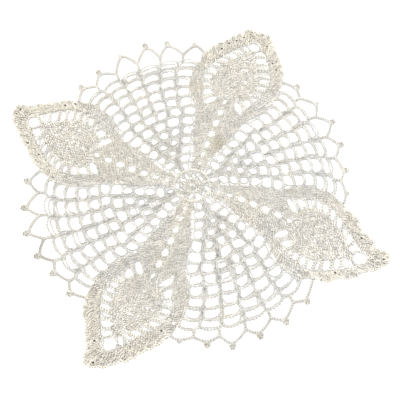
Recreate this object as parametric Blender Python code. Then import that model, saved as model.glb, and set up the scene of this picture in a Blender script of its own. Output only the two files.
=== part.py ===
"""Crochet doily: one flat cotton sheet with four pineapple corners joined by four sectors of net.

The sheet lies on its flat back. Its corners point along +X, +Y, -X and -Y, and every outline and gap
is worked out from the crochet chart below, first in polar chart sizes (millimetres and degrees) and
then laid out with the small stretches and turns of a piece made by hand.
"""
import math

import bpy
from mathutils import Vector
from mathutils.geometry import delaunay_2d_cdt

MM = 0.001

# Whole piece
CORNERS = 4
QUARTER = 90.0          # degrees from one corner to the next
ORIGIN_SHIFT = (-0.98, -3.26)  # from the chart's centre to the middle of the piece's box

# Thickness above the table
NET_THICK = 1.5         # one chain of the thread
STEM_THICK = 2.0        # close tall stitches
BORDER_THICK = 2.5      # shells on the pineapples' edge
BORDER_WIDE = 7.0       # how far in from the edge they reach
BORDER_PAST = 6.0       # how far towards the centre they run past the last row of EDGE
THICK_WAVE = 0.12       # how far the height wanders by hand

# How far the rounds lean round the centre, as the stitches do
LEAN_NEAR = 9.0         # degrees at the centre, dying away within LEAN_FADE
LEAN_FADE = 30.0
LEAN_WIDE = 5.2         # degrees at the centre, dying away by LEAN_END
LEAN_END = 125.0

# Thread and posts of the net
BAR = 2.1               # width of a chain across
POST = 2.7              # width of the tall stitch between two gaps
LOOP_THREAD = 1.9       # width of the last round's loops

# Points of a net gap, on the side towards the centre and then on the far side.
# columns: place across the gap from -1 to 1, share of the gap's half height there
GAP_NEAR = ((-1.0, 0.45), (-0.55, 1.0), (0.55, 1.0), (1.0, 0.45))
GAP_FAR = ((1.0, 0.55), (0.55, 1.0), (-0.55, 1.0), (-1.0, 0.55))
SMALL_NEAR = ((-0.9, 0.7), (0.0, 1.0), (0.9, 0.7))
SMALL_FAR = ((0.9, 0.75), (0.0, 1.0), (-0.9, 0.75))
SMALL_ROUNDS = 5        # rounds from the centre whose gaps have the simpler shape
GAP_WANDER = 0.07       # how far gaps differ in size by hand

# Places along a loop, from -1 to 1, where its gap has a point: at its foot, then back over its crown
LOOP_FOOT = (-0.94, 0.0, 0.94)
LOOP_CROWN = (1.0, 0.6, 0.15, -0.3, -0.7, -1.0)

# Points of an oblong gap. columns: place lengthwise and place sideways, each from -1 to 1
OBLONG = ((1.0, 0.3), (0.45, 1.0), (-0.45, 1.0), (-1.0, 0.3), (-1.0, -0.3), (0.0, -1.1), (1.0, -0.3))

# Pulled out of shape by hand: one row for each eighth, from +X round by +Y.
# columns: stretch near the centre, stretch far out, turn near the centre, turn far out
HAND = (
    (1.010, 1.000, -0.3, -1.3),
    (0.955, 0.957, -2.3, -0.6),
    (0.935, 0.978, -0.7, 2.3),
    (0.955, 0.998, 2.1, 2.0),
    (1.005, 1.022, 2.0, 1.3),
    (1.004, 1.020, -1.4, -0.6),
    (0.968, 0.982, -1.5, -0.7),
    (1.000, 1.008, 0.7, -1.8),
)
HAND_NEAR = 35.0        # radius up to which the near columns hold
HAND_FAR = 95.0         # radius from which the far columns hold

# Corner points, one row for each corner from +X round by +Y.
# columns: how far the point reaches, degrees it bends at its very end, how much fuller its border
# is on the clockwise side, and on the other side
POINTS = (
    (153.0, 3.6, -2.6, 0.0),
    (147.0, 0.1, -0.4, 1.9),
    (151.5, -1.8, -1.2, 0.0),
    (153.2, -2.9, 0.8, 2.2),
)
POINT_END = 151.0       # reach of a point before its corner's row
POINT_HALF = 12.0       # degrees either side of the corner's line that move with its point
BEND_FROM = 125.0       # radius where a point starts to bend

# Net rounds from the centre out.
# columns: gaps across a sector, half the sector in degrees, radius of the chain that closes the
# round, how far the chain bows out between posts, size of the gaps away from the stems
FIRST_BAR = 13.3
ROUNDS = (
    (2, 26.0, 20.6, 0.2, 0.60),
    (2, 31.5, 27.6, 0.3, 0.60),
    (3, 28.6, 35.2, 0.4, 0.55),
    (4, 27.5, 43.2, 0.5, 0.72),
    (5, 27.4, 51.7, 0.6, 0.85),
    (5, 28.4, 60.1, 0.9, 0.95),
    (6, 28.4, 68.0, 1.2, 0.92),
    (6, 25.3, 76.0, 1.3, 0.96),
    (6, 24.2, 84.1, 1.4, 1.00),
    (6, 24.1, 92.2, 1.5, 1.00),
    (6, 24.8, 100.2, 1.6, 1.00),
    (6, 25.8, 107.0, 1.7, 1.00),
)
FIRST_CUT = 1           # the first round's gaps are under 4 mm, and stay uncut
SMALLEST_CUT = 0.75     # and so does a middle gap under this share of full size

# Loops of the last round, each with a picot at its top
LOOPS = 6
LOOP_SPAN = 28.6        # half a sector at the loops, in degrees
LOOP_TOP = 13.2         # from the last chain out to the loop's own middle line
LOOP_DIP = 6.6          # the same at the dip between two loops
PICOT_RISE = 3.2
PICOT_HALF = 2.0

# Each loop as the hand left it, one block for each sector, clockwise loop first.
# columns: how far it is pulled out beyond that, where its picot sits along it from -1 to 1
LOOP_HAND = (
    ((-4.5, -0.1), (-3.5, -0.1), (-0.5, 0.1), (1.5, 0.15), (0.0, -0.1), (-3.0, -0.1)),
    ((2.0, 0.1), (3.5, 0.4), (5.5, 0.1), (6.0, 0.1), (0.5, 0.3), (-1.5, 0.1)),
    ((0.5, 0.2), (2.0, 0.4), (3.0, 0.4), (0.5, 0.25), (-3.0, -0.1), (-2.0, -0.1)),
    ((-4.0, -0.1), (-3.5, 0.1), (0.0, -0.1), (-1.0, -0.1), (-0.8, -0.1), (-2.5, -0.1)),
)

# Gaps that lie pulled flat or open. columns: sector, round, gap, width, height
PULLED = (
    (0, 11, 1, 1.00, 0.75),
    (0, 11, 3, 1.00, 0.70),
    (0, 10, 4, 0.80, 1.05),
    (1, 11, 0, 1.00, 0.55),
    (1, 11, 1, 1.00, 0.50),
    (1, 11, 2, 1.00, 0.45),
    (1, 10, 1, 0.85, 0.65),
    (1, 9, 0, 1.00, 0.80),
    (1, 11, 3, 0.70, 0.80),
    (2, 11, 1, 1.00, 0.45),
    (2, 11, 2, 1.00, 0.60),
    (2, 9, 3, 1.00, 0.60),
    (3, 6, 2, 0.90, 0.60),
    (3, 6, 3, 0.60, 0.95),
    (3, 7, 2, 0.90, 0.65),
    (3, 7, 3, 0.70, 0.90),
    (3, 8, 5, 0.70, 1.00),
)
FOLDED_PICOTS = ((0, 0), (0, 4), (1, 0), (1, 3), (3, 0))

# Slits between a pineapple and its border, on each side, from the point inwards.
# columns: along the corner, out from its middle line, length, width, heading square to the side
SLITS = (
    (126.0, 5.8, 7.2, 4.2, 42.0),
    (120.9, 9.8, 7.0, 3.5, 48.0),
    (116.4, 13.2, 7.8, 3.4, 54.0),
    (111.7, 16.4, 8.8, 3.5, 60.0),
    (106.6, 19.2, 8.8, 3.4, 68.0),
    (101.1, 21.1, 8.2, 3.4, 80.0),
)
SLIT_LEAN = 16.0        # degrees that every slit leans off square

# Gaps at the pineapple's base and point.
# columns: along, out, length, width, direction of the length off the corner's middle line
BASE_GAPS = (
    (80.6, 16.4, 7.2, 5.2, -38.0),
    (74.6, 11.6, 9.4, 3.2, -42.0),
)
# Base gaps pulled further out. columns: corner, side, how far
PULLED_BASE = ((3, 1.0, 3.0),)
POINT_GAP = (132.4, 0.0, 8.2, 8.0, 0.0)

# Edge of a corner from its point down to the net's last loop.
# columns: along the corner, out from its middle line
EDGE = (
    (146.6, 6.8),
    (138.2, 13.2),
    (128.6, 20.3),
    (119.8, 26.4),
    (113.6, 31.0),
)
TIP = ((150.2, 3.6), (151.0, 0.0))
SHELLS = 7              # shells along one side
SHELL_RISE = 0.9        # from the edge's line out to a shell's top
SHELL_DIP = 0.5         # and in to the dip between two


def lean(radius):
    """Turn of the rounds at a chart radius: two terms that fade outwards, in degrees."""
    near = LEAN_NEAR * math.exp(-radius / LEAN_FADE)
    wide = LEAN_WIDE * max(0.0, 1.0 - (radius / LEAN_END) ** 2)
    return near + wide


def eased(table, angle, column):
    """A column of an eighths table at an angle, eased between its rows by a cosine."""
    place_in_table = (angle % 360.0) / 45.0
    row = int(place_in_table)
    share = 0.5 - 0.5 * math.cos(math.pi * (place_in_table - row))
    low = table[row % len(table)][column]
    high = table[(row + 1) % len(table)][column]
    return low + (high - low) * share


def lay(radius, angle):
    """Table position in millimetres of a chart point, with the hand's stretch and turn."""
    corner = int(((angle + QUARTER / 2) % 360.0) / QUARTER)
    off_axis = (angle - corner * QUARTER + 180.0) % 360.0 - 180.0
    reach, bend = POINTS[corner][:2]
    far = min(1.0, max(0.0, (radius - HAND_NEAR) / (HAND_FAR - HAND_NEAR)))
    stretch = eased(HAND, angle, 0) * (1.0 - far) + eased(HAND, angle, 1) * far
    turn = eased(HAND, angle, 2) * (1.0 - far) + eased(HAND, angle, 3) * far + lean(radius)
    past = max(0.0, (radius - BEND_FROM) / (POINT_END - BEND_FROM))
    close = max(0.0, 1.0 - abs(off_axis) / POINT_HALF)
    turn += bend * past * past * close
    radius += (reach - POINT_END) * past * close
    heading = math.radians(angle + turn)
    return (
        radius * stretch * math.cos(heading) - ORIGIN_SHIFT[0],
        radius * stretch * math.sin(heading) - ORIGIN_SHIFT[1],
    )


def lay_from_corner(corner, along, out):
    """Table position of a point given along a corner's middle line and out from it."""
    angle = math.degrees(math.atan2(out, along))
    return lay(math.hypot(along, out), corner * QUARTER + angle)


def thickness(radius, angle):
    """Height of the sheet's face: thin at the net, thicker at a stem and most at a border."""
    off_axis = abs((angle + QUARTER / 2) % QUARTER - QUARTER / 2)
    across = radius * math.sin(math.radians(off_axis))
    along = radius * math.cos(math.radians(off_axis))
    height = NET_THICK
    if off_axis < stem_half_angle(radius):
        height = STEM_THICK
    if along > EDGE[-1][0] - BORDER_PAST and across > edge_out(along) - BORDER_WIDE:
        height = BORDER_THICK
    wave = math.sin(0.21 * radius + math.radians(3.0 * angle)) * math.cos(math.radians(5.0 * angle))
    return height + THICK_WAVE * wave


def edge_out(along):
    """Half width of a corner at a distance along it, straight between the rows of EDGE."""
    if along >= EDGE[0][0]:
        return EDGE[0][1]
    for (far, narrow), (near, wide) in zip(EDGE, EDGE[1:]):
        if along >= near:
            return narrow + (wide - narrow) * (far - along) / (far - near)
    return EDGE[-1][1]


def stem_half_angle(radius):
    """Half the angle that a stem takes at a radius: what the net's rounds leave."""
    for _, half_span, bar_radius, _, _ in ROUNDS:
        if radius < bar_radius:
            return QUARTER / 2 - half_span
    return QUARTER / 2 - LOOP_SPAN


def wander(sector, row, gap):
    """A small share either side of one, different for each gap and the same each run."""
    return 1.0 + GAP_WANDER * math.sin(2.3 * sector + 1.7 * row + 2.9 * gap)


def net_gap(sector, row, gap):
    """Corner points of one net gap as chart points, or nothing where it is too small to cut."""
    gaps, half_span, bar_radius, bow, middle = ROUNDS[row]
    inner_radius = ROUNDS[row - 1][2] if row else FIRST_BAR
    inner_bow = ROUNDS[row - 1][3] if row else 0.0
    at_stem = gap in (0, gaps - 1)
    if row < FIRST_CUT or (not at_stem and middle < SMALLEST_CUT):
        return []
    size = wander(sector, row, gap) * (1.0 if at_stem else middle)
    pulled_width = 1.0
    pulled_height = 1.0
    for sector_row, round_row, gap_row, width, height in PULLED:
        if (sector_row, round_row, gap_row) == (sector, row, gap):
            pulled_width = width
            pulled_height = height
    cell = 2.0 * half_span / gaps
    middle_angle = (sector + 0.5) * QUARTER - half_span + (gap + 0.5) * cell
    middle_radius = (inner_radius + bar_radius) / 2
    half_width = (math.radians(cell) * middle_radius - POST) / 2 * min(1.0, size) * pulled_width
    half_height = (bar_radius - inner_radius - BAR) / 2 * size * pulled_height
    half_angle = math.degrees(half_width / middle_radius)
    near, far = (SMALL_NEAR, SMALL_FAR) if row < SMALL_ROUNDS else (GAP_NEAR, GAP_FAR)
    points = []
    for side, share in near:
        radius = middle_radius + inner_bow * (1.0 - side * side) - half_height * share
        points.append((radius, middle_angle + half_angle * side))
    for side, share in far:
        radius = middle_radius + bow * (1.0 - side * side) + half_height * share
        points.append((radius, middle_angle + half_angle * side))
    return points


def loop_rise(sector, loop, side):
    """Height of a loop's middle line over the last chain at a place along it, from -1 to 1.

    The loop peaks at its picot, and falls off faster on the picot's own side.
    """
    pull, picot = LOOP_HAND[sector][loop]
    reach = 1.0 - picot if side > picot else 1.0 + picot
    fall = abs(side - picot) / reach
    return LOOP_DIP + (LOOP_TOP + pull - LOOP_DIP) * (1.0 - fall * fall)


def loop_gap(sector, loop):
    """Corner points of the gap in one loop of the last round, as chart points."""
    bar_radius, bow = ROUNDS[-1][2:4]
    cell = 2.0 * LOOP_SPAN / LOOPS
    middle_angle = (sector + 0.5) * QUARTER - LOOP_SPAN + (loop + 0.5) * cell
    half_angle = cell / 2 - math.degrees(POST / 2 / bar_radius)
    points = []
    for side in LOOP_FOOT:
        base = bar_radius + bow * (1.0 - side * side) + BAR / 2
        points.append((base, middle_angle + half_angle * side))
    for side in LOOP_CROWN:
        top = bar_radius + loop_rise(sector, loop, side * 0.96) - LOOP_THREAD / 2
        points.append((top, middle_angle + half_angle * side))
    return points


def oblong(along, out, length, width, heading):
    """Points of a rounded oblong, its length along a heading off the corner's line."""
    direction = Vector((math.cos(math.radians(heading)), math.sin(math.radians(heading))))
    side = Vector((-direction.y, direction.x))
    middle = Vector((along, out))
    points = []
    for lengthwise, sideways in OBLONG:
        points.append(middle + direction * lengthwise * length / 2 + side * sideways * width / 2)
    return points


def corner_gaps(corner):
    """Every gap that is cut in one corner: slits, base gaps and the one at the point."""
    gaps = []
    for hand in (1.0, -1.0):
        for along, out, length, width, square in SLITS:
            gaps.append(oblong(along, hand * out, length, width, hand * square + SLIT_LEAN))
        pull = sum(row[2] for row in PULLED_BASE if row[:2] == (corner, hand))
        for along, out, length, width, heading in BASE_GAPS:
            gaps.append(oblong(along + pull, hand * out, length, width, hand * heading))
    gaps.append(oblong(*POINT_GAP))
    return [[lay_from_corner(corner, point.x, point.y) for point in gap] for gap in gaps]


def corner_side(corner, hand):
    """Scalloped edge of one side of a corner, from its point down to the net."""
    line = [Vector(row) for row in EDGE]
    lengths = [(b - a).length for a, b in zip(line, line[1:])]
    total = sum(lengths)
    points = []
    steps = SHELLS * 3
    rises = (-SHELL_DIP, SHELL_RISE, SHELL_RISE)
    fuller = POINTS[corner][3] if hand > 0.0 else POINTS[corner][2]
    for step in range(steps + 1):
        goal = total * step / steps
        index = 0
        while goal > lengths[index] and index < len(lengths) - 1:
            goal -= lengths[index]
            index += 1
        start = line[index]
        ahead = (line[index + 1] - start).normalized()
        outward = Vector((-ahead.y, ahead.x)) * -1.0
        out = rises[step % len(rises)] + fuller * min(1.0, step / SHELLS)
        point = start + ahead * goal + outward * out
        points.append(lay_from_corner(corner, point.x, hand * point.y))
    return points


def corner_point(corner):
    """Blunt tip of a corner, from its clockwise side round to the other."""
    (along, out), (end, middle) = TIP
    tip = ((along, -out), (end, middle), (along, out))
    return [lay_from_corner(corner, *point) for point in tip]


def loop_edge(sector, loop):
    """Outer edge of one loop with its picot, as table points."""
    bar_radius = ROUNDS[-1][2]
    cell = 2.0 * LOOP_SPAN / LOOPS
    middle_angle = (sector + 0.5) * QUARTER - LOOP_SPAN + (loop + 0.5) * cell
    half_angle = cell / 2
    picot_half = math.degrees(PICOT_HALF / (bar_radius + LOOP_TOP)) / half_angle
    picot = LOOP_HAND[sector][loop][1]
    left = picot - picot_half
    right = picot + picot_half
    chart = []
    for side in (-1.0, (left - 1.3) / 2, left, right, (right + 0.6) / 2, (right + 1.5) / 2):
        outer = bar_radius + loop_rise(sector, loop, side) + LOOP_THREAD / 2
        chart.append((outer, middle_angle + half_angle * side))
        if side == left and (sector, loop) not in FOLDED_PICOTS:
            top = outer + PICOT_RISE
            chart.append((top - 0.5, middle_angle + half_angle * (picot - 0.6 * picot_half)))
            chart.append((top, middle_angle + half_angle * (picot + 0.4 * picot_half)))
    return [lay(radius, angle) for radius, angle in chart]


def outline():
    """The whole outer edge, anticlockwise, as table points."""
    points = []
    for quarter in range(CORNERS):
        points += corner_point(quarter)
        points += corner_side(quarter, 1.0)
        for loop in range(LOOPS):
            points += loop_edge(quarter, loop)
        points += reversed(corner_side((quarter + 1) % CORNERS, -1.0))
    return points


def gaps_of_sheet():
    """Every cut gap as a ring of table points."""
    rings = []
    for sector in range(CORNERS):
        for row, section in enumerate(ROUNDS):
            for gap in range(section[0]):
                chart = net_gap(sector, row, gap)
                if chart:
                    rings.append([lay(radius, angle) for radius, angle in chart])
        for loop in range(LOOPS):
            rings.append([lay(radius, angle) for radius, angle in loop_gap(sector, loop)])
        rings += corner_gaps(sector)
    return rings


def chart_of(point):
    """Chart radius and angle of a table point, near enough to read its thickness."""
    x = point[0] + ORIGIN_SHIFT[0]
    y = point[1] + ORIGIN_SHIFT[1]
    radius = math.hypot(x, y)
    return radius, math.degrees(math.atan2(y, x)) - lean(radius)


def anticlockwise(ring):
    """The ring's points turned to run anticlockwise."""
    area = 0.0
    for (x, y), (next_x, next_y) in zip(ring, ring[1:] + ring[:1]):
        area += x * next_y - next_x * y
    return ring if area > 0.0 else ring[::-1]


def sheet_faces(rings):
    """Triangles of the plain sheet: inside the first ring and outside all others."""
    points = []
    loops = []
    for ring in rings:
        first = len(points)
        points += [Vector(point) for point in anticlockwise(ring)]
        loops.append(list(range(first, len(points))))
    inside_constraints = 1
    result = delaunay_2d_cdt(points, [], loops, inside_constraints, 1e-6)
    corners, triangles, sources = result[0], result[2], result[5]
    sheet = [triangle for triangle, source in zip(triangles, sources) if list(source) == [0]]
    return corners, sheet


def sheet_mesh(rings):
    """Closed sheet between its flat back and its uneven face, open at every ring after the first."""
    corners, sheet = sheet_faces(rings)
    count = len(corners)
    vertices = [(p.x * MM, p.y * MM, 0.0) for p in corners]
    for p in corners:
        height = thickness(*chart_of(p))
        vertices.append((p.x * MM, p.y * MM, height * MM))
    faces = []
    sides = set()
    for a, b, c in sheet:
        faces.append((a + count, b + count, c + count))
        faces.append((c, b, a))
        sides |= {(a, b), (b, c), (c, a)}
    for a, b in sorted(sides):
        if (b, a) not in sides:
            faces.append((a, b, b + count))
            faces.append((a, b + count, a + count))
    mesh = bpy.data.meshes.new("doily")
    mesh.from_pydata(vertices, [], faces)
    mesh.update()
    return mesh


def cotton():
    """Cream cotton thread."""
    material = bpy.data.materials.new("cream_cotton")
    material.use_nodes = True
    shader = material.node_tree.nodes["Principled BSDF"]
    shader.inputs["Base Color"].default_value = (0.78, 0.73, 0.62, 1.0)
    shader.inputs["Roughness"].default_value = 0.9
    shader.inputs["Metallic"].default_value = 0.0
    return material


def main():
    """Clear the scene and build the doily."""
    for leftover in list(bpy.data.objects):
        bpy.data.objects.remove(leftover, do_unlink=True)
    mesh = sheet_mesh([outline()] + gaps_of_sheet())
    doily = bpy.data.objects.new("doily", mesh)
    doily.data.materials.append(cotton())
    bpy.context.scene.collection.objects.link(doily)


main()
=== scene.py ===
"""Crochet doily, dressed: every chain and tall stitch is worked in real thread over the flat sheet.

The doily is one piece of cotton crochet: a round middle, twelve rounds of net in four sectors,
a last round of loops with picots, and four pointed corners, each with a stem of close tall
stitches, a pineapple, windows beside it and a border of shells. Its thread is divided into
eight meshes, one for each eighth of the round, only to keep each mesh small; the middle's
thread is shared out among them. Lengths in this file are millimetres until a mesh is put
together, angles are degrees, and a place on a corner is given along its middle line and out
from it.
"""
import logging
import math
from dataclasses import dataclass, field
from enum import Enum
from typing import NamedTuple, Sequence

import bpy
import numpy as np
from mathutils import Matrix, Vector


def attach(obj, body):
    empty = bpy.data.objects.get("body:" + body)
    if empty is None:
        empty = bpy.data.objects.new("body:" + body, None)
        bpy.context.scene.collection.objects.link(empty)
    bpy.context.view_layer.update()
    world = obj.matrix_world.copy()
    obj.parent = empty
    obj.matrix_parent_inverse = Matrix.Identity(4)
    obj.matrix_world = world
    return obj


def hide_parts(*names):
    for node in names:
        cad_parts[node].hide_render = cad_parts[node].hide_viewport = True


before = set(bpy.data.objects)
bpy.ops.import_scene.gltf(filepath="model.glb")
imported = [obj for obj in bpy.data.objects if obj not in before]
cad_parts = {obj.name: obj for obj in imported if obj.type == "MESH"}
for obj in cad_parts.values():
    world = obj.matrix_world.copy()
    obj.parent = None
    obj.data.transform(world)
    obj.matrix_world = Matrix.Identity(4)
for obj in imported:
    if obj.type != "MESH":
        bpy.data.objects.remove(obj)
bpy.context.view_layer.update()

MM = 0.001
TINY = 1e-9
FULL_TURN = 360.0
QUARTER = 90.0
EIGHTH = 45.0
CORNERS = 4
SEED = 20
UP = np.array((0.0, 0.0, 1.0))
LINE_POINTS = 33            # points along a row line or a border's edge
NOISE_BULK = (0.3, 0.7)     # where most of a noise lies

EIGHTHS = ("east_upper", "north_right", "north_left", "west_upper", "west_lower", "south_left",
           "south_right", "east_lower")

log = logging.getLogger("doily")

# Pulled out of shape by hand: one row for each eighth, from +X round by +Y.
NEAR_STRETCH, FAR_STRETCH, NEAR_TURN, FAR_TURN = range(4)
HAND = np.array((
    (1.010, 1.000, -0.3, -1.3),
    (0.955, 0.957, -2.3, -0.6),
    (0.935, 0.978, -0.7, 2.3),
    (0.955, 0.998, 2.1, 2.0),
    (1.005, 1.022, 2.0, 1.3),
    (1.004, 1.020, -1.4, -0.6),
    (0.968, 0.982, -1.5, -0.7),
    (1.000, 1.008, 0.7, -1.8),
))

# Corner points, one row for each corner from +X round by +Y: how far one reaches, degrees it
# bends at its very end, how much fuller its border is on the clockwise side and on the other,
# how much broader its tip is, and how deep the three large scallops of each side are.
REACH, BEND, FULLER_CLOCKWISE, FULLER_OTHER, BROADER, SCALLOP = range(6)
POINTS = np.array((
    (153.0, 3.6, -2.8, 0.4, 0.0, 2.6),
    (144.6, 0.7, 0.9, 3.0, 0.60, 0.8),
    (151.5, -1.8, -1.0, 0.2, 0.12, 0.8),
    (153.2, -2.9, 1.0, 2.4, 0.10, 1.2),
))


class Round(NamedTuple):
    """One round of the net.

    Its fields are the gaps across a sector, half the sector in degrees, the radius of the
    chain that closes the round, how far that chain bows out between posts, the size of the
    gaps away from the stems, and how far along a corner's line the round reaches.
    """

    gaps: int
    half: float
    bar: float
    bow: float
    opened: float
    reach: float


ROUNDS = (
    Round(2, 26.0, 20.6, 0.3, 0.60, 24.1),
    Round(2, 31.5, 27.6, 0.4, 0.60, 33.2),
    Round(3, 28.6, 35.2, 0.6, 0.58, 42.6),
    Round(4, 27.5, 43.2, 0.9, 0.72, 52.2),
    Round(5, 27.4, 51.7, 1.2, 0.85, 62.0),
    Round(5, 28.4, 60.1, 1.6, 0.92, 71.7),
    Round(6, 28.4, 68.0, 2.0, 0.92, 81.0),
    Round(6, 25.3, 76.0, 2.3, 0.95, 85.2),
    Round(6, 24.2, 84.1, 2.5, 1.00, 89.4),
    Round(6, 24.1, 92.2, 2.6, 1.00, 93.6),
    Round(6, 24.8, 100.2, 2.6, 1.00, 97.8),
    Round(6, 25.8, 107.0, 2.4, 1.00, 102.0),
)
MIDDLE_RIM = Round(0, 26.0, 13.3, 0.0, 0.0, 15.5)
STEM_ROUNDS = 7         # rounds that run straight across the stem
SMALL_ROUNDS = 5        # rounds whose gaps are small ovals

# Outline of a gap, its side near the centre and its far side. columns: place across the cell
# from -1 to 1, share of the half height there
SMALL_GAP = (((-0.9, 0.7), (0.0, 1.0), (0.9, 0.7)), ((0.9, 0.75), (0.0, 1.0), (-0.9, 0.75)))
LARGE_GAP = (((-1.0, 0.6), (-0.72, 1.0), (0.72, 1.0), (1.0, 0.6)),
             ((1.0, 0.66), (0.72, 1.0), (-0.72, 1.0), (-1.0, 0.66)))

# Gaps that lie pulled flat or open, by sector, round and gap. columns: width, height
PULLED = {
    (0, 11, 1): (1.00, 0.75), (0, 11, 3): (1.00, 0.70), (0, 10, 4): (0.80, 1.05),
    (1, 11, 0): (1.00, 0.55), (1, 11, 1): (1.00, 0.50), (1, 11, 2): (1.00, 0.45),
    (1, 10, 1): (0.85, 0.65), (1, 9, 0): (1.00, 0.80), (1, 11, 3): (0.70, 0.80),
    (2, 11, 1): (1.00, 0.45), (2, 11, 2): (1.00, 0.60), (2, 9, 3): (1.00, 0.60),
    (3, 6, 2): (0.90, 0.60), (3, 6, 3): (0.60, 0.95), (3, 7, 2): (0.90, 0.65),
    (3, 7, 3): (0.70, 0.90), (3, 8, 5): (0.70, 1.00),
}

# What turns a cell's sector, round and gap into the phase of a sine, so that no two are alike:
# for its size, for its outline's wander and for its outline's tilt.
SIZE_PHASE = (2.3, 1.7, 2.9)
WANDER_PHASE = (31.7, 7.3, 3.1)
TILT_PHASE = (31.7, 5.1, 2.3)

# Each loop as the hand left it, one row for each sector, clockwise loop first.
# columns: how far it is pulled out, where its picot sits along it from -1 to 1
LOOP_HAND = (
    ((-4.5, -0.1), (-3.5, -0.1), (-0.5, 0.1), (1.5, 0.15), (0.0, -0.1), (-3.0, -0.1)),
    ((2.0, 0.1), (3.5, 0.4), (5.5, 0.1), (6.0, 0.1), (0.5, 0.3), (-1.5, 0.1)),
    ((0.5, 0.2), (2.0, 0.4), (3.0, 0.4), (0.5, 0.25), (-3.0, -0.1), (-2.0, -0.1)),
    ((-4.0, -0.1), (-3.5, 0.1), (0.0, -0.1), (-1.0, -0.1), (-0.8, -0.1), (-2.5, -0.1)),
)
FOLDED_PICOTS = ((0, 0), (0, 4), (1, 0), (1, 3), (3, 0))
RUN_ON = {(3, 5): 5.4}  # loops by sector whose thread runs on to a border further off, how far

# The line that the windows between a pineapple and its border follow, from the base to the
# point. columns: along the corner, out, length of a window there, its heading
WINDOW_LINE = np.array((
    (84.0, 20.8, 3.4, 94.0),
    (92.0, 21.5, 6.6, 94.0),
    (98.0, 21.8, 7.4, 94.0),
    (104.0, 20.9, 7.8, 94.0),
    (110.0, 17.9, 8.6, 92.0),
    (115.0, 14.4, 8.6, 90.0),
    (120.0, 10.4, 8.2, 82.0),
    (126.0, 6.0, 7.4, 54.0),
    (129.0, 4.8, 7.0, 50.0),
))

# The windows as the hand left them, one row for each side of a corner, from +X round by +Y and
# the anticlockwise side first. columns: degrees they lean towards the base, then for each
# window from the base to the point how far it lies along the corner and how wide it is
WINDOWS = (
    (10.0, (88.5, 1.6), (92.9, 3.2), (98.5, 3.0), (104.4, 2.8), (110.7, 3.2), (116.2, 1.4),
     (121.0, 4.0), (126.0, 3.0)),
    (-2.0, (85.3, 2.2), (90.1, 3.4), (96.2, 3.8), (102.2, 3.6), (107.5, 1.8), (113.3, 4.2),
     (119.7, 3.6), (125.3, 4.2)),
    (3.0, (85.4, 1.6), (92.0, 2.6), (100.2, 2.6), (105.5, 2.2), (111.2, 2.0), (117.6, 4.0),
     (122.6, 1.6), (127.4, 3.6)),
    (-18.0, (85.8, 2.2), (91.5, 1.4), (97.5, 2.2), (103.7, 2.8), (110.3, 1.8), (114.6, 1.4),
     (120.6, 5.0), (127.4, 3.6)),
    (4.0, (88.0, 1.0), (93.8, 2.6), (99.8, 3.4), (105.4, 2.2), (110.3, 1.4), (115.2, 2.4),
     (119.6, 1.6), (124.8, 3.0)),
    (-20.0, (86.4, 1.2), (91.9, 3.0), (97.9, 2.0), (103.5, 2.0), (108.9, 3.8), (113.9, 3.0),
     (119.9, 4.6), (125.6, 3.0)),
    (10.0, (90.5, 1.8), (95.6, 3.4), (100.6, 1.5), (107.2, 2.6), (113.0, 1.5), (118.2, 3.0),
     (123.1, 1.7), (127.8, 3.4)),
    (5.0, (86.3, 1.8), (92.3, 2.8), (97.3, 2.4), (103.5, 3.4), (109.9, 3.0), (115.2, 1.6),
     (121.0, 4.8), (127.0, 3.6)),
)

# Outline of a window or an eyelet. columns: share of its half length, share of its half width
WINDOW_SHAPE = np.array(((1.0, 0.3), (0.45, 1.0), (-0.45, 1.0), (-1.0, 0.3), (-1.0, -0.3),
                         (0.0, -1.1), (1.0, -0.3)))

# Three-sided gap at a pineapple's base, its corners along and out; then the two gaps that the
# rows of thread part round there, of which the second is the long one that lies open.
# columns of those: along, out, length, width, direction off the corner's line
BASE_CORNERS = ((76.8, 18.8), (84.9, 19.0), (84.6, 16.8), (81.8, 13.2), (79.4, 14.4))
BASE_GAPS = (
    (80.8, 16.6, 8.2, 6.0, -38.0),
    (74.6, 11.6, 10.6, 4.2, -42.0),
)
PULLED_BASE = {(3, 1.0): 3.0}   # base gaps by corner and side that are pulled out, how far
POINT_GAP = (132.5, 8.4, 8.6)   # opening at a corner's point: along, length, width

# Eyelets up the middle of every stem. columns: along the corner, length, width
EYELETS = (
    (19.8, 3.0, 2.8), (28.5, 4.2, 3.6), (37.9, 5.0, 4.2), (47.4, 5.4, 4.6),
    (57.1, 5.8, 4.6), (67.0, 5.4, 4.0), (76.4, 4.2, 3.2),
)

# Gaps between the tall stitches of the middle, as they were pulled.
# columns: angle, radius, length, width, heading
MIDDLE_GAPS = (
    (171.0, 8.7, 5.0, 1.8, 190.0), (143.0, 8.3, 5.4, 2.0, 150.0), (108.0, 8.0, 3.2, 2.0, 150.0),
    (66.0, 8.8, 4.4, 2.1, 150.0), (206.0, 11.2, 4.8, 2.6, 130.0), (11.0, 11.2, 5.2, 2.3, 330.0),
    (289.0, 9.0, 5.4, 2.2, 260.0), (319.0, 10.4, 4.6, 3.4, 300.0), (345.0, 10.6, 3.2, 1.9, 290.0),
    (253.0, 11.6, 3.6, 1.9, 10.0), (228.0, 9.4, 2.4, 1.6, 10.0), (90.0, 9.6, 2.6, 1.7, 120.0),
)

# Edge of a corner from its point down to the net's last loop. columns: along, out
EDGE = ((151.0, 0.0), (150.2, 3.6), (146.6, 6.8), (138.2, 13.2), (128.6, 20.3), (119.8, 26.4),
        (113.6, 31.0))

# Old yellowed spots. columns: x, y, how far one reaches, how strong it is
STAINS = ((4.7, 41.8, 9.5, 0.62), (-31.5, 80.5, 10.0, 0.45))

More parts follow.
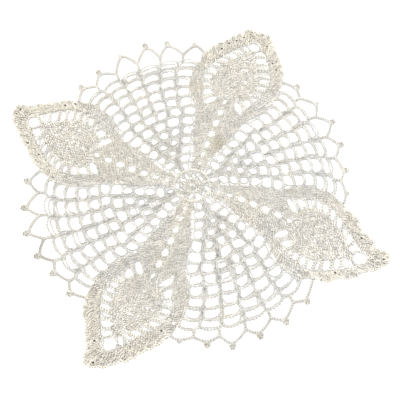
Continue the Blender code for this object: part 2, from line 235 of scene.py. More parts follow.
# Small deep eyes in the borders. columns: corner, along, out
EYES = (
    (0, 128.8, 15.2), (0, 147.1, 1.2), (0, 121.3, -17.1), (0, 114.2, -27.1),
    (1, 119.3, 23.6), (1, 126.3, 20.5), (1, 131.5, 15.8), (1, 137.9, 11.2), (1, 121.9, -18.9),
    (1, 117.5, -24.3), (1, 136.7, -9.6),
    (2, 147.7, 2.2), (2, 140.2, 2.9), (2, 146.9, -2.5), (2, 116.4, 21.7), (2, 128.3, 17.5),
    (2, 116.9, -23.3), (2, 110.3, -28.3),
    (3, 148.0, 1.2), (3, 135.2, -10.4), (3, 109.0, 27.0),
)


class Zone(Enum):
    """Part of the doily a thread belongs to: its warmth, its tone and how high it lies."""

    NET = (0.16, 0.81, 1.04)
    # Painted shade: the loops' and picots' lower tones stand for the shade on their thin threads.
    LOOP = (0.30, 0.70, 1.00)
    PICOT = (0.60, 0.75, 1.00)
    BAR = (0.35, 0.87, 1.04)
    STEM = (0.50, 0.98, 0.98)
    PINEAPPLE = (0.62, 1.02, 1.02)
    BORDER = (0.75, 0.885, 1.04)

    @property
    def warmth(self) -> float:
        """How much of the warm cream its thread has kept, from 0 to 1."""
        return self.value[0]

    @property
    def tone(self) -> float:
        """Lightness of its thread, one for the plain cotton."""
        return self.value[1]

    @property
    def height(self) -> float:
        """Height of its threads' middle above the table, in millimetres."""
        return self.value[2]


def round_at(row: int) -> Round:
    """One round of the net, or the middle's rim for the one before the first."""
    return ROUNDS[row] if row >= 0 else MIDDLE_RIM


def stem_half(row: int) -> float:
    """Angle from a corner's line to the net in a round."""
    return QUARTER / 2 - round_at(row).half


def evenly(count: int, start: float = 0.5) -> np.ndarray:
    """Places of a count of stitches from 0 to 1, the first one a share of a step in."""
    return (np.arange(count) + start) / count


def unit(steps: np.ndarray) -> np.ndarray:
    """Steps brought to a length of one along the last axis."""
    return steps / np.maximum(np.linalg.norm(steps, axis=-1, keepdims=True), TINY)


def turned_round(count: int) -> np.ndarray:
    """Even angles round a full turn, in radians, from zero."""
    return np.arange(count) * 2.0 * np.pi / count


def quarter_turned(steps: np.ndarray) -> np.ndarray:
    """Flat steps turned a quarter to the left."""
    return np.stack((-steps[..., 1], steps[..., 0]), axis=-1)


def length_of(line: np.ndarray) -> float:
    """Length of a line of points."""
    return float(np.linalg.norm(np.diff(line, axis=0), axis=1).sum())


def area_of(ring: np.ndarray) -> float:
    """Area inside a flat ring by the shoelace sum, negative where it runs clockwise."""
    x, y = ring.T
    return float((x * np.roll(y, -1) - y * np.roll(x, -1)).sum()) / 2


def raised(line: np.ndarray, height: float) -> np.ndarray:
    """A flat line of points lifted to one height."""
    return np.column_stack((line, np.full(len(line), height)))


def between(line: np.ndarray, places: np.ndarray) -> np.ndarray:
    """Points of a line at places counted in its own points, from 0 for the first."""
    spots = np.arange(len(line))
    return np.stack([np.interp(places, spots, column) for column in line.T], axis=-1)


def paced(line: np.ndarray, count: int) -> np.ndarray:
    """Points evenly spaced along a line of any dimension, by its length.

    Args:
        line: Points of the line, one a row.
        count: How many points to place, both ends among them.

    Returns:
        The placed points, one a row.
    """
    steps = np.linalg.norm(np.diff(line, axis=0), axis=1)
    gone = np.concatenate(((0.0,), np.cumsum(steps)))
    return between(line, np.interp(np.linspace(0.0, gone[-1], count), gone, np.arange(len(line))))


def at_shares(line: np.ndarray, shares: np.ndarray, points: int = 65) -> np.ndarray:
    """Points of a line at shares of its length, from 0 to 1."""
    return between(paced(line, points), shares * (points - 1))


def rounded(ring: np.ndarray, cut: float = 0.2) -> np.ndarray:
    """Cuts off the corners of a closed ring.

    Args:
        ring: Flat points, one a row.
        cut: Share of each side that is cut off at either end.

    Returns:
        A ring of twice as many points.
    """
    after = np.roll(ring, -1, axis=0)
    return np.stack((ring + (after - ring) * cut, after + (ring - after) * cut), 1).reshape(-1, 2)


@dataclass(frozen=True)
class Chart:
    """The crochet chart and the small stretches and turns the hand left in it.

    Chart points are a radius and an angle, or a place along a corner's line and out from it;
    lay and lay_corner turn them into places on the table.
    """

    centre: tuple[float, float] = (0.98, 3.26)
    lean_near: float = 9.0
    lean_fade: float = 30.0
    lean_wide: float = 5.2
    lean_end: float = 125.0
    hand_near: float = 35.0
    hand_far: float = 95.0
    point_end: float = 151.0
    point_half: float = 12.0
    bend_from: float = 125.0

    def lean(self, radius: np.ndarray) -> np.ndarray:
        """Turn of the rounds: an exponential near the centre and a parabola beyond.

        Args:
            radius: Chart radii.

        Returns:
            The turn at each radius, in degrees.
        """
        near = self.lean_near * np.exp(-radius / self.lean_fade)
        wide = self.lean_wide * np.maximum(0.0, 1.0 - (radius / self.lean_end) ** 2)
        return near + wide

    def eased(self, angle: np.ndarray, column: int) -> np.ndarray:
        """One column of HAND, eased between its rows by half a cosine.

        Args:
            angle: Chart angles.
            column: The column.

        Returns:
            Its value at each angle.
        """
        place = (angle % FULL_TURN) / EIGHTH
        row = np.floor(place).astype(int) % len(HAND)
        share = 0.5 - 0.5 * np.cos(np.pi * (place - np.floor(place)))
        low, high = HAND[row, column], HAND[(row + 1) % len(HAND), column]
        return low + (high - low) * share

    def lay(self, radius: np.ndarray, angle: np.ndarray) -> np.ndarray:
        """Places of chart points on the table.

        The angle gains the lean and the hand's turn, the radius is stretched by the hand, and
        close to a corner's line the outermost part is reached out and bent with its point.

        Args:
            radius: Chart radii.
            angle: Chart angles, of the same shape.

        Returns:
            An array with a last axis of x and y.
        """
        radius, angle = np.broadcast_arrays(np.asarray(radius, float), np.asarray(angle, float))
        corner = (((angle + QUARTER / 2) % FULL_TURN) // QUARTER).astype(int)
        off_line = (angle - corner * QUARTER + FULL_TURN / 2) % FULL_TURN - FULL_TURN / 2
        far = np.clip((radius - self.hand_near) / (self.hand_far - self.hand_near), 0.0, 1.0)
        stretch, turn = (self.eased(angle, near) * (1.0 - far) + self.eased(angle, away) * far
                         for near, away in ((NEAR_STRETCH, FAR_STRETCH), (NEAR_TURN, FAR_TURN)))
        past = np.maximum(0.0, (radius - self.bend_from) / (self.point_end - self.bend_from))
        close = np.maximum(0.0, 1.0 - np.abs(off_line) / self.point_half)
        turn = turn + self.lean(radius) + POINTS[corner, BEND] * past * past * close
        reached = (radius + (POINTS[corner, REACH] - self.point_end) * past * close) * stretch
        heading = np.radians(angle + turn)
        return np.stack((reached * np.cos(heading), reached * np.sin(heading)),
                        axis=-1) + self.centre

    def lay_corner(self, corner: int, along: np.ndarray, out: np.ndarray) -> np.ndarray:
        """Places on the table of points of a corner.

        Args:
            corner: The corner's number.
            along: Distances along its line.
            out: Distances out from it.

        Returns:
            An array with a last axis of x and y.
        """
        along, out = np.asarray(along, float), np.asarray(out, float)
        angle = np.degrees(np.arctan2(out, along))
        return self.lay(np.hypot(along, out), corner * QUARTER + angle)


CHART = Chart()


@dataclass
class Openings:
    """Every opening that the thread goes round, as rings of table points.

    A stitch that meets one is drawn back from it by the margin, and what is left is kept where
    it is longer than the shortest.
    """

    rings: list[np.ndarray] = field(default_factory=list)
    margin: float = 0.25
    shortest: float = 0.7
    samples: int = 25

    def hold(self, points: np.ndarray) -> np.ndarray:
        """Tells which points lie in an opening.

        A point is inside a ring when a ray from it towards +X crosses the ring's sides an odd
        number of times; only rings whose box holds a point are asked.

        Args:
            points: Table points, with a last axis of x and y.

        Returns:
            True for each point inside an opening.
        """
        flat = points.reshape(-1, 2)
        inside = np.zeros(len(flat), bool)
        for ring in self.rings:
            low, high = ring.min(axis=0), ring.max(axis=0)
            near = np.flatnonzero(((flat >= low) & (flat <= high)).all(axis=1))
            if len(near) == 0:
                continue
            x, y = flat[near, 0, None], flat[near, 1, None]
            ax, ay = ring[:, 0], ring[:, 1]
            bx, by = np.roll(ax, -1), np.roll(ay, -1)
            crosses = (ay > y) != (by > y)
            rise = np.where(by == ay, 1.0, by - ay)
            passed = crosses & (x < ax + (y - ay) * (bx - ax) / rise)
            inside[near] |= passed.sum(axis=1) % 2 == 1
        return inside.reshape(points.shape[:-1])

    def clear(self, feet: np.ndarray, tops: np.ndarray
              ) -> tuple[np.ndarray, np.ndarray, np.ndarray]:
        """Cuts straight stitches where they would cross an opening.

        Each stitch is sampled along its length, and every run of samples outside all openings
        that is long enough is kept as a stitch of its own.

        Args:
            feet: Lower ends, one a row, x y z.
            tops: Upper ends, one a row, x y z.

        Returns:
            The kept lower ends, upper ends, and the row each came from.
        """
        share = np.linspace(0.0, 1.0, self.samples)
        runs = tops - feet
        free = ~self.hold((feet[:, None, :] + runs[:, None, :] * share[None, :, None])[..., :2])
        whole = free.all(axis=1)
        kept_feet, kept_tops, rows = [feet[whole]], [tops[whole]], [np.flatnonzero(whole)]
        lengths = np.linalg.norm(runs, axis=1)
        for row in np.flatnonzero(~whole):
            edges = np.diff(np.concatenate(((False,), free[row], (False,))).astype(int))
            back = self.margin / lengths[row]
            for first, last in zip(np.flatnonzero(edges == 1), np.flatnonzero(edges == -1) - 1):
                start = share[first] + (back if first > 0 else 0.0)
                end = share[last] - (back if last < self.samples - 1 else 0.0)
                if (end - start) * lengths[row] > self.shortest:
                    kept_feet.append((feet[row] + runs[row] * start)[None])
                    kept_tops.append((feet[row] + runs[row] * end)[None])
                    rows.append(np.array((row,)))
        return np.concatenate(kept_feet), np.concatenate(kept_tops), np.concatenate(rows)


class Batch(NamedTuple):
    """Threads of one kind with the same number of points: middle lines, radius and finish."""

    paths: np.ndarray
    radius: float
    tones: np.ndarray
    warmth: np.ndarray
    sides: int
    closed: bool


@dataclass
class Skein:
    """Thread worked so far for one mesh, in batches that have the same number of points."""

    name: str
    rng: np.random.Generator
    batches: list[Batch] = field(default_factory=list)
    warmth_chance: float = 0.12

    def add(self, paths: np.ndarray, radius: float, zone: Zone, tones: np.ndarray,
            sides: int = 5, closed: bool = False) -> None:
        """Keeps a batch of threads.

        Args:
            paths: Middle lines, as threads by points by x y z.
            radius: The thread's radius.
            zone: The part it belongs to, for its tone and warmth.
            tones: A tone for each point of each thread, one for plain.
            sides: Faces round the thread.
            closed: True where each thread runs back into its own start.
        """
        chance = self.rng.normal(0.0, self.warmth_chance, len(paths))
        warmth = np.clip(zone.warmth + chance, 0.0, 1.0)
        self.batches.append(Batch(paths, radius, tones * zone.tone, warmth, sides, closed))

    def build(self) -> bpy.types.Object:
        """Skins every thread and puts them into one mesh.

        Returns:
            The object, at the origin, with a UV map of millimetres along and turns round, and
            attributes for tone and warmth.
        """
        points, faces, uvs, tones, warmths = [], [], [], [], []
        first = 0
        for batch in self.batches:
            rings, quads, caps, quad_uv, cap_uv = skin(batch)
            points.append(rings)
            faces += (quads + first).tolist() + (caps + first).tolist()
            uvs += [quad_uv, cap_uv]
            tones.append(np.repeat(batch.tones.ravel(), batch.sides))
            warmths.append(np.repeat(batch.warmth, batch.paths.shape[1] * batch.sides))
            first += len(rings)
        mesh = bpy.data.meshes.new(self.name)
        mesh.from_pydata(np.concatenate(points) * MM, [], faces)
        mesh.polygons.foreach_set("use_smooth", np.ones(len(faces), bool))
        mesh.uv_layers.new(name="thread").uv.foreach_set("vector", np.concatenate(uvs).ravel())
        for name, values in (("tone", tones), ("warmth", warmths)):
            layer = mesh.attributes.new(name, "FLOAT", "POINT")
            layer.data.foreach_set("value", np.concatenate(values).astype(np.float32))
        mesh.update()
        piece = bpy.data.objects.new(self.name, mesh)
        bpy.context.scene.collection.objects.link(piece)
        return piece

    def dress(self, piece: bpy.types.Object, outline: np.ndarray, cotton: bpy.types.Material
              ) -> None:
        """Gives the piece the thread's finish, hangs it from the root and hides the flat doily
        sheet.

        Args:
            piece: The object that build made.
            outline: Not used.
            cotton: The thread's finish.
        """
        piece.data.materials.append(cotton)
        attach(piece, "root")
        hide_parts("doily")


def skin(batch: Batch, steep: float = 0.05
         ) -> tuple[np.ndarray, np.ndarray, np.ndarray, np.ndarray, np.ndarray]:
    """Rings, faces and UV places of a batch of threads.

    A thread's skin is a ring of points round each point of its middle line: the point plus the
    radius times (cos a · side + sin a · over), where side is the line's direction turned level
    and over is square to both. Both ends of an open thread are closed with a face.

    Args:
        batch: The threads.
        steep: How level the least level line may be whose own side is used.

    Returns:
        Points, four-sided faces, end faces, and the UV places of the corners of both.
    """
    paths, sides, closed = batch.paths, batch.sides, batch.closed
    count, length = paths.shape[:2]
    if closed:
        ahead = unit(np.roll(paths, -1, axis=1) - np.roll(paths, 1, axis=1))
    else:
        ahead = unit(np.gradient(paths, axis=1))
    side = np.cross(ahead, UP)
    level = np.linalg.norm(side, axis=2, keepdims=True)
    side = np.where(level < steep, np.array((1.0, 0.0, 0.0)), side / np.maximum(level, steep))
    over = np.cross(side, ahead)
    turn = turned_round(sides)
    rings = paths[:, :, None, :] + batch.radius * (
        np.cos(turn)[None, None, :, None] * side[:, :, None, :]
        + np.sin(turn)[None, None, :, None] * over[:, :, None, :])
    index = np.arange(count * length * sides).reshape(count, length, sides)
    low = index if closed else index[:, :-1]
    high = np.roll(index, -1, axis=1) if closed else index[:, 1:]
    quads = np.stack((low, high, np.roll(high, -1, axis=2), np.roll(low, -1, axis=2)), axis=-1)
    steps = np.linalg.norm(np.diff(paths, axis=1), axis=2)
    gone = np.concatenate((np.zeros((count, 1)), np.cumsum(steps, axis=1)), axis=1)
    if closed:
        starts, ends = gone, np.concatenate((gone[:, 1:], gone[:, -1:] + steps[:, -1:]), axis=1)
        caps, cap_uv = np.zeros((0, sides), int), np.zeros((0, 2))
    else:
        starts, ends = gone[:, :-1], gone[:, 1:]
        caps = np.concatenate((index[:, 0], index[:, -1, ::-1]))
        cap_uv = np.repeat(np.concatenate((gone[:, 0], gone[:, -1])), sides)
        cap_uv = np.stack((cap_uv, np.full(len(cap_uv), 0.5)), axis=1)
    begin, stop, near = np.broadcast_arrays(starts[..., None], ends[..., None],
                                            np.arange(sides) / sides)
    far = near + 1.0 / sides
    quad_uv = np.stack((begin, near, stop, near, stop, far, begin, far), axis=-1).reshape(-1, 2)
    return rings.reshape(-1, 3), quads.reshape(-1, 4), caps, quad_uv, cap_uv


@dataclass(frozen=True)
class ChainStitch:
    """A line of chain: one thread that loops back through itself at every link."""

    pitch: float = 2.1
    wide: float = 0.76
    tall: float = 0.34
    radius: float = 0.43
    slip: float = 0.60
    skew: float = 0.35
    per_link: int = 8
    tone_chance: float = 0.05
    painted_shade_wave: float = 0.16

    def work(self, skein: Skein, guides: Sequence[np.ndarray], zone: Zone) -> None:
        """Works a line of chain along each guide.

        With u running 2 pi for each link, the thread's place along the guide is
        u / 2 pi less slip cos u, in links, its place across is sin u - skew sin 2u half widths,
        and its height is - cos u half heights: it runs forward on top and back underneath. It
        has painted shade: its tone is painted lighter on top and darker underneath.

        Args:
            skein: Where the thread goes.
            guides: Lines of x y z to follow.
            zone: The part it belongs to.
        """
        groups: dict[int, list[np.ndarray]] = {}
        for guide in guides:
            groups.setdefault(max(1, round(length_of(guide) / self.pitch)), []).append(guide)
        for links, lines in groups.items():
            count = links * self.per_link + 1
            turn = np.linspace(0.0, 2.0 * np.pi * links, count)
            share = turn / (2.0 * np.pi * links) - self.slip * np.cos(turn) / links
            places = np.clip(share, 0.0, 1.0) * (count - 1)
            across = self.wide * (np.sin(turn) - self.skew * np.sin(2.0 * turn))
            paths = []
            for line in lines:
                fine = paced(line, count)
                square = quarter_turned(unit(np.gradient(fine[:, :2], axis=0)))
                path = between(fine, places)
                path[:, :2] += between(square, places) * across[:, None]
                path[:, 2] -= self.tall * np.cos(turn)
                paths.append(path)
            shade = skein.rng.normal(1.0, self.tone_chance, (len(paths), 1))
            # Painted shade: the wave makes the thread lighter on top and darker underneath.
            skein.add(np.stack(paths), self.radius, zone,
                      shade * (1.0 - self.painted_shade_wave * np.cos(turn))[None, :])


@dataclass(frozen=True)
class TallStitch:
    """A tall stitch: two strands of the thread wrapped round each other from foot to top.

    The flecks are the share of points that are dark, as many that are light, how much darker
    the dark ones are, and how strong the light ones are beside them.
    """

    pitch: float = 1.9
    wide: float = 0.56
    tall: float = 0.40
    turn_length: float = 3.9
    radius: float = 0.34
    step: float = 0.72
    fewest: int = 4
    sides: int = 4
    sway: float = 0.16
    tone_chance: float = 0.07
    painted_shade_wave: float = 0.14
    fleck: float = 0.40
    fleck_share: float = 0.15
    fleck_light: float = 0.35

    def work(self, skein: Skein, feet: np.ndarray, tops: np.ndarray, zone: Zone,
             tones: np.ndarray | None = None) -> None:
        """Works tall stitches from feet to tops, those of like length together.

        Args:
            skein: Where the threads go.
            feet: Lower ends, one a row.
            tops: Upper ends, one a row.
            zone: The part they belong to.
            tones: A tone for each stitch, or slight chance ones.
        """
        if tones is None:
            tones = skein.rng.normal(1.0, self.tone_chance, len(feet))
        steps = np.ceil(np.linalg.norm(tops - feet, axis=1) / self.step).astype(int)
        counts = np.maximum(self.fewest, steps + 1)
        for count in np.unique(counts):
            mine = counts == count
            self.wrap(skein, feet[mine], tops[mine], zone, tones[mine], int(count))

    def wrap(self, skein: Skein, feet: np.ndarray, tops: np.ndarray, zone: Zone,
             tones: np.ndarray, points: int) -> None:
        """Wraps both strands of each stitch.

        A strand follows the straight line from foot to top, moved across it by wide cos p and
        up by tall sin p, where p turns once every turn_length and the second strand starts half
        a turn later. Both sway off the line by half a sine. A strand has painted shade, lighter
        where it lies on top and darker where it lies low, and is flecked by chance.

        Args:
            skein: Where the threads go.
            feet: Lower ends, one a row.
            tops: Upper ends, one a row.
            zone: The part they belong to.
            tones: A tone for each stitch.
            points: Points along a strand.
        """
        run = tops - feet
        length = np.linalg.norm(run, axis=1)
        share = np.linspace(0.0, 1.0, points)
        start = skein.rng.uniform(0.0, 2.0 * np.pi, len(feet))
        sway = skein.rng.normal(0.0, self.sway, len(feet))
        square = unit(quarter_turned(run[:, :2]))
        for strand in range(2):
            phase = (start[:, None] + np.pi * strand
                     + 2.0 * np.pi * length[:, None] / self.turn_length * share[None, :])
            across = self.wide * np.cos(phase) + sway[:, None] * np.sin(np.pi * share)[None, :]
            path = feet[:, None, :] + run[:, None, :] * share[None, :, None]
            path[..., :2] += square[:, None, :] * across[..., None]
            path[..., 2] += self.tall * np.sin(phase)
            chance = skein.rng.random(phase.shape)
            fleck = (1.0 - self.fleck * (chance < self.fleck_share)
                     + self.fleck_light * self.fleck * (chance > 1.0 - self.fleck_share))
            # Painted shade: lighter where sin p lifts the strand on top, darker where it lies low.
            skein.add(path, self.radius, zone, sides=self.sides,
                      tones=tones[:, None] * (1.0 + self.painted_shade_wave * np.sin(phase)) * fleck)


@dataclass(frozen=True)
class Edging:
    """The thread that runs round an opening, in and out of the stitches beside it."""

    bump: float = 1.8
    out: float = 0.58
    swing: float = 0.14
    radius: float = 0.53
    fewest: int = 4
    place_chance: float = 0.10
    tone_chance: float = 0.08
    painted_shade_wave: float = 0.14

    def work(self, skein: Skein, rings: Sequence[np.ndarray], zone: Zone, lift: float = 0.0
             ) -> None:
        """Works one thread round each opening.

        The ring is rounded, cut into two even steps for each stitch, and moved outwards by
        out, plus swing at every other point; those points also lie higher, and painted shade
        makes them lighter and the points between darker.

        Args:
            skein: Where the threads go.
            rings: Openings as table points.
            zone: The part they belong to.
            lift: Added to the zone's height.
        """
        for ring in rings:
            ring = rounded(ring)
            whole = np.concatenate((ring, ring[:1]))
            stitches = round((length_of(whole) + 2.0 * np.pi * self.out) / self.bump)
            count = 2 * max(self.fewest, stitches)
            line = paced(whole, count + 1)[:-1]
            ahead = unit(np.roll(line, -1, axis=0) - np.roll(line, 1, axis=0))
            away = -quarter_turned(ahead) * math.copysign(1.0, area_of(line))
            other = np.where(np.arange(count) % 2, 1.0, -1.0)
            chance = skein.rng.normal(0.0, self.place_chance, count)
            line = line + away * (self.out + self.swing * other + chance)[:, None]
            path = np.column_stack((line, zone.height + lift + self.swing * other + chance))
            tones = skein.rng.normal(1.0, self.tone_chance, count)
            # Painted shade: the raised points are painted lighter, the low ones darker.
            tones *= 1.0 + self.painted_shade_wave * other
            skein.add(path[None], self.radius, zone, tones[None], closed=True)


CHAIN = ChainStitch()
FINE_CHAIN = ChainStitch(pitch=1.95, wide=0.54, tall=0.30, radius=0.36)
LOOP_CHAIN = ChainStitch(pitch=1.9, wide=0.68, tall=0.28, radius=0.57)
NET_CHAIN = ChainStitch(pitch=2.4, wide=0.50, tall=0.30, radius=0.31)
TALL = TallStitch()
SHORT = TallStitch(step=0.66)
POST = TallStitch(wide=0.48, tall=0.24, turn_length=3.0, radius=0.42)
CLOSE = TallStitch(wide=0.50, tall=0.26, turn_length=2.2, radius=0.36, step=0.5, fleck=0.30)
EDGING = Edging()
FINE_EDGING = Edging(out=0.40, radius=0.36)


class Window(NamedTuple):
    """A window of a corner: its ends along and out, and its width."""

    inner: np.ndarray
    outer: np.ndarray
    width: float


class Row(NamedTuple):
    """Row line past the stem: across half the pineapple, between two windows, and beyond."""

    middle: np.ndarray
    bar: np.ndarray
    side: np.ndarray


@dataclass(frozen=True)
class HalfCorner:
    """One side of a corner and the lines that its parts share, along and out.

    The hand is 1 on the side anticlockwise of the corner's line, and -1 on the other. A window
    is window_width of its listed width, plus the ease; its lean fades out within lean_fade of
    lean_end; and the row lines start at row_start on the corner's line, row_step apart.
    """

    corner: int
    hand: float
    window_width: float = 0.9
    window_ease: float = 0.15
    lean_end: float = 130.0
    lean_fade: float = 12.0
    row_start: float = 85.2
    row_step: float = 4.7
    row_points: int = 9

    def mirrored(self, points: Sequence[tuple[float, float]]) -> np.ndarray:
        """Places along and out, turned over to this side."""
        return np.array(points) * (1.0, self.hand)

    def placed(self, line: np.ndarray) -> np.ndarray:
        """Table points of a line along and out."""
        return CHART.lay_corner(self.corner, line[:, 0], line[:, 1])

    def row_line(self, row: int, half: float | None = None) -> np.ndarray:
        """Straight row line from the corner's line out to the net.

        Args:
            row: The round whose line it is.
            half: Angle at which it ends, or the net's own in that round.

        Returns:
            Its two ends, along and out.
        """
        this = round_at(row)
        angle = math.radians(stem_half(row) if half is None else half)
        end = (this.bar * math.cos(angle), self.hand * this.bar * math.sin(angle))
        return np.array(((this.reach, 0.0), end))

    def slot(self, along: float, out: float, length: float, heading: float, width: float
             ) -> Window:
        """A window by its middle, with its ends half its length off along its heading.

        Args:
            along: Its middle along the corner.
            out: Its middle out from the corner's line.
            length: Its length.
            heading: Its direction off the corner's line, in degrees.
            width: Its width.

        Returns:
            The window on this side.
        """
        turn = math.radians(heading)
        reach = np.array((math.cos(turn), self.hand * math.sin(turn))) * length / 2
        middle = np.array((along, self.hand * out))
        return Window(middle - reach, middle + reach, width)

    @property
    def base_pull(self) -> float:
        """How far the gaps at the pineapple's base are pulled out on this side."""
        return PULLED_BASE.get((self.corner, self.hand), 0.0)

    def windows(self) -> list[Window]:
        """The windows beside the pineapple from the point inwards, then the base gaps.

        A window follows WINDOW_LINE at its place, and leans less towards the point.

        Returns:
            Each window and gap.
        """
        lean, *windows = WINDOWS[2 * self.corner + int(self.hand < 0.0)]
        slots = []
        for along, width in reversed(windows):
            out, length, square = (np.interp(along, WINDOW_LINE[:, 0], column)
                                   for column in WINDOW_LINE.T[1:])
            heading = square + lean * min(1.0, (self.lean_end - along) / self.lean_fade)
            slots.append(self.slot(along, out, length, heading,
                                   self.window_ease + self.window_width * width))
        return slots + [self.slot(along + self.base_pull, out, -length, direction, width)
                        for along, out, length, width, direction in BASE_GAPS]

    def oblong(self, window: Window) -> np.ndarray:
        """Outline of a window on the table.

        WINDOW_SHAPE is stretched between the window's ends and square to them.

        Args:
            window: The window.

        Returns:
            A ring of table points.
        """
        middle, reach = (window.inner + window.outer) / 2, (window.outer - window.inner) / 2
        square = unit(quarter_turned(reach)) * window.width / 2
        return self.placed(middle + WINDOW_SHAPE[:, :1] * reach + WINDOW_SHAPE[:, 1:] * square)

    def eyelet(self, along: float, length: float, width: float) -> np.ndarray:
        """A rounded hole on the corner's line, as table points."""
        ends = (np.array((along + side * length / 2, 0.0)) for side in (-1.0, 1.0))
        return self.oblong(Window(*ends, width))

    def window_rings(self) -> list[np.ndarray]:
        """Outlines of the windows, the long base gap and the three-sided one.

        Returns:
            Rings of table points.
        """
        *windows, _, long_gap = self.windows()
        base = self.mirrored(BASE_CORNERS) + (self.base_pull, 0.0)
        return [self.oblong(window) for window in windows + [long_gap]] + [self.placed(base)]

    def rows(self) -> list[Row]:
        """Row lines past the stem, from the base to the point.

        A row crosses half the pineapple on a parabola, passes between two windows, and runs on
        through the side band to the net, where the net reaches so far.

        Returns:
            The rows.
        """
        windows = self.windows()[::-1]
        share = np.linspace(0.0, 1.0, self.row_points)[:, None]
        rows = []
        for index, (low, high) in enumerate(zip(windows, windows[1:])):
            inner, outer = (low.inner + high.inner) / 2, (low.outer + high.outer) / 2
            start = self.row_start + self.row_step * index
            middle = np.hstack((start + (inner[0] - start) * share ** 2, inner[1] * share))
            row = STEM_ROUNDS + index
            end = self.row_line(row)[1] if row < len(ROUNDS) else outer
            rows.append(Row(middle, np.array((inner, outer)), np.array((outer, end))))
        return rows


@dataclass(frozen=True)
class Hook:
    """Works stitches and chains flat on the table, clear of every opening."""

    openings: Openings
    tilt: float = 0.05
    tone_chance: float = 0.07
    overlap: float = 0.15
    place_chance: float = 0.14
    brick_lift: float = 0.12

    def stitches(self, skein: Skein, feet: np.ndarray, tops: np.ndarray, zone: Zone,
                 stitch: TallStitch = TALL, lift: float = 0.0) -> None:
        """Works tall stitches between flat ends, cut where they would cross an opening.

        Args:
            skein: Where the threads go.
            feet: Lower ends on the table, x y.
            tops: Upper ends on the table, x y.
            zone: The part they belong to.
            stitch: How they are worked.
            lift: Added to the zone's height.
        """
        height = zone.height + lift
        rise = skein.rng.normal(0.0, self.tilt, (2, len(feet)))
        feet = np.column_stack((feet, height - self.tilt + rise[0]))
        tops = np.column_stack((tops, height + self.tilt + rise[1]))
        tones = skein.rng.normal(1.0, self.tone_chance, len(feet))
        feet, tops, rows = self.openings.clear(feet, tops)
        stitch.work(skein, feet, tops, zone, tones[rows])

    def chains(self, skein: Skein, lines: Sequence[np.ndarray], zone: Zone,
               chain: ChainStitch = CHAIN, lift: float = 0.0) -> None:
        """Works chain along flat lines at the zone's height, a little lifted."""
        chain.work(skein, [raised(line, zone.height + lift) for line in lines], zone)

    def pair(self, skein: Skein, half: HalfCorner, low: np.ndarray, high: np.ndarray,
             places: np.ndarray, zone: Zone, stitch: TallStitch = TALL, lift: float = 0.0
             ) -> None:
        """Works a row of stitches between two lines of a corner.

        Args:
            skein: Where the threads go.
            half: The half corner whose measure the lines are in.
            low: Line of the feet, along and out.
            high: Line of the tops, along and out.
            places: Places of the stitches along both lines, from 0 to 1.
            zone: The part they belong to.
            stitch: How they are worked.
            lift: Added to the zone's height.
        """
        foot, top = at_shares(low, places), at_shares(high, places)
        past = unit(top - foot) * self.overlap
        foot, top = (ends + skein.rng.normal(0.0, self.place_chance, ends.T.shape).T
                     for ends in (foot - past, top + past))
        self.stitches(skein, half.placed(foot), half.placed(top), zone, stitch, lift)

    def fill(self, skein: Skein, half: HalfCorner, low: np.ndarray, high: np.ndarray,
             places: np.ndarray, zone: Zone, tall: float = 3.3, stitch: TallStitch = TALL
             ) -> None:
        """Fills the cloth between two row lines with short close rows, set like bricks.

        Args:
            skein: Where the threads go.
            half: The half corner whose measure the lines are in.
            low: Line of the first row's feet, along and out.
            high: Line of the last row's tops, along and out.
            places: Places of the stitches along the lines, from 0 to 1.
            zone: The part they belong to.
            tall: Height of one row, near enough.
            stitch: How the stitches are worked.
        """
        low, high = paced(low, LINE_POINTS), paced(high, LINE_POINTS)
        rows = max(1, round(float(np.linalg.norm(high - low, axis=1).mean()) / tall))
        step = (places[-1] - places[0]) / max(1, len(places) - 1)
        for row in range(rows):
            under, over = (low + (high - low) * (line / rows) for line in (row, row + 1))
            odd = row % 2
            shift = np.clip(places + 0.5 * step * odd, 0.0, 1.0)
            self.pair(skein, half, under, over, shift, zone, stitch, self.brick_lift * odd)


@dataclass(frozen=True)
class Sector:
    """A quarter of the doily, between two corners' lines, with a skein for each half."""

    number: int
    skeins: tuple[Skein, Skein]

    @property
    def middle(self) -> float:
        """Chart angle of its middle line."""
        return (self.number + 0.5) * QUARTER

    @property
    def sides(self) -> tuple[HalfCorner, HalfCorner]:
        """The half corners at its clockwise end and at the other."""
        return HalfCorner(self.number, 1.0), HalfCorner((self.number + 1) % CORNERS, -1.0)

    def skein_at(self, angle: float) -> Skein:
        """The skein of the half that a chart angle lies in."""
        return self.skeins[int(angle > self.middle + TINY)]


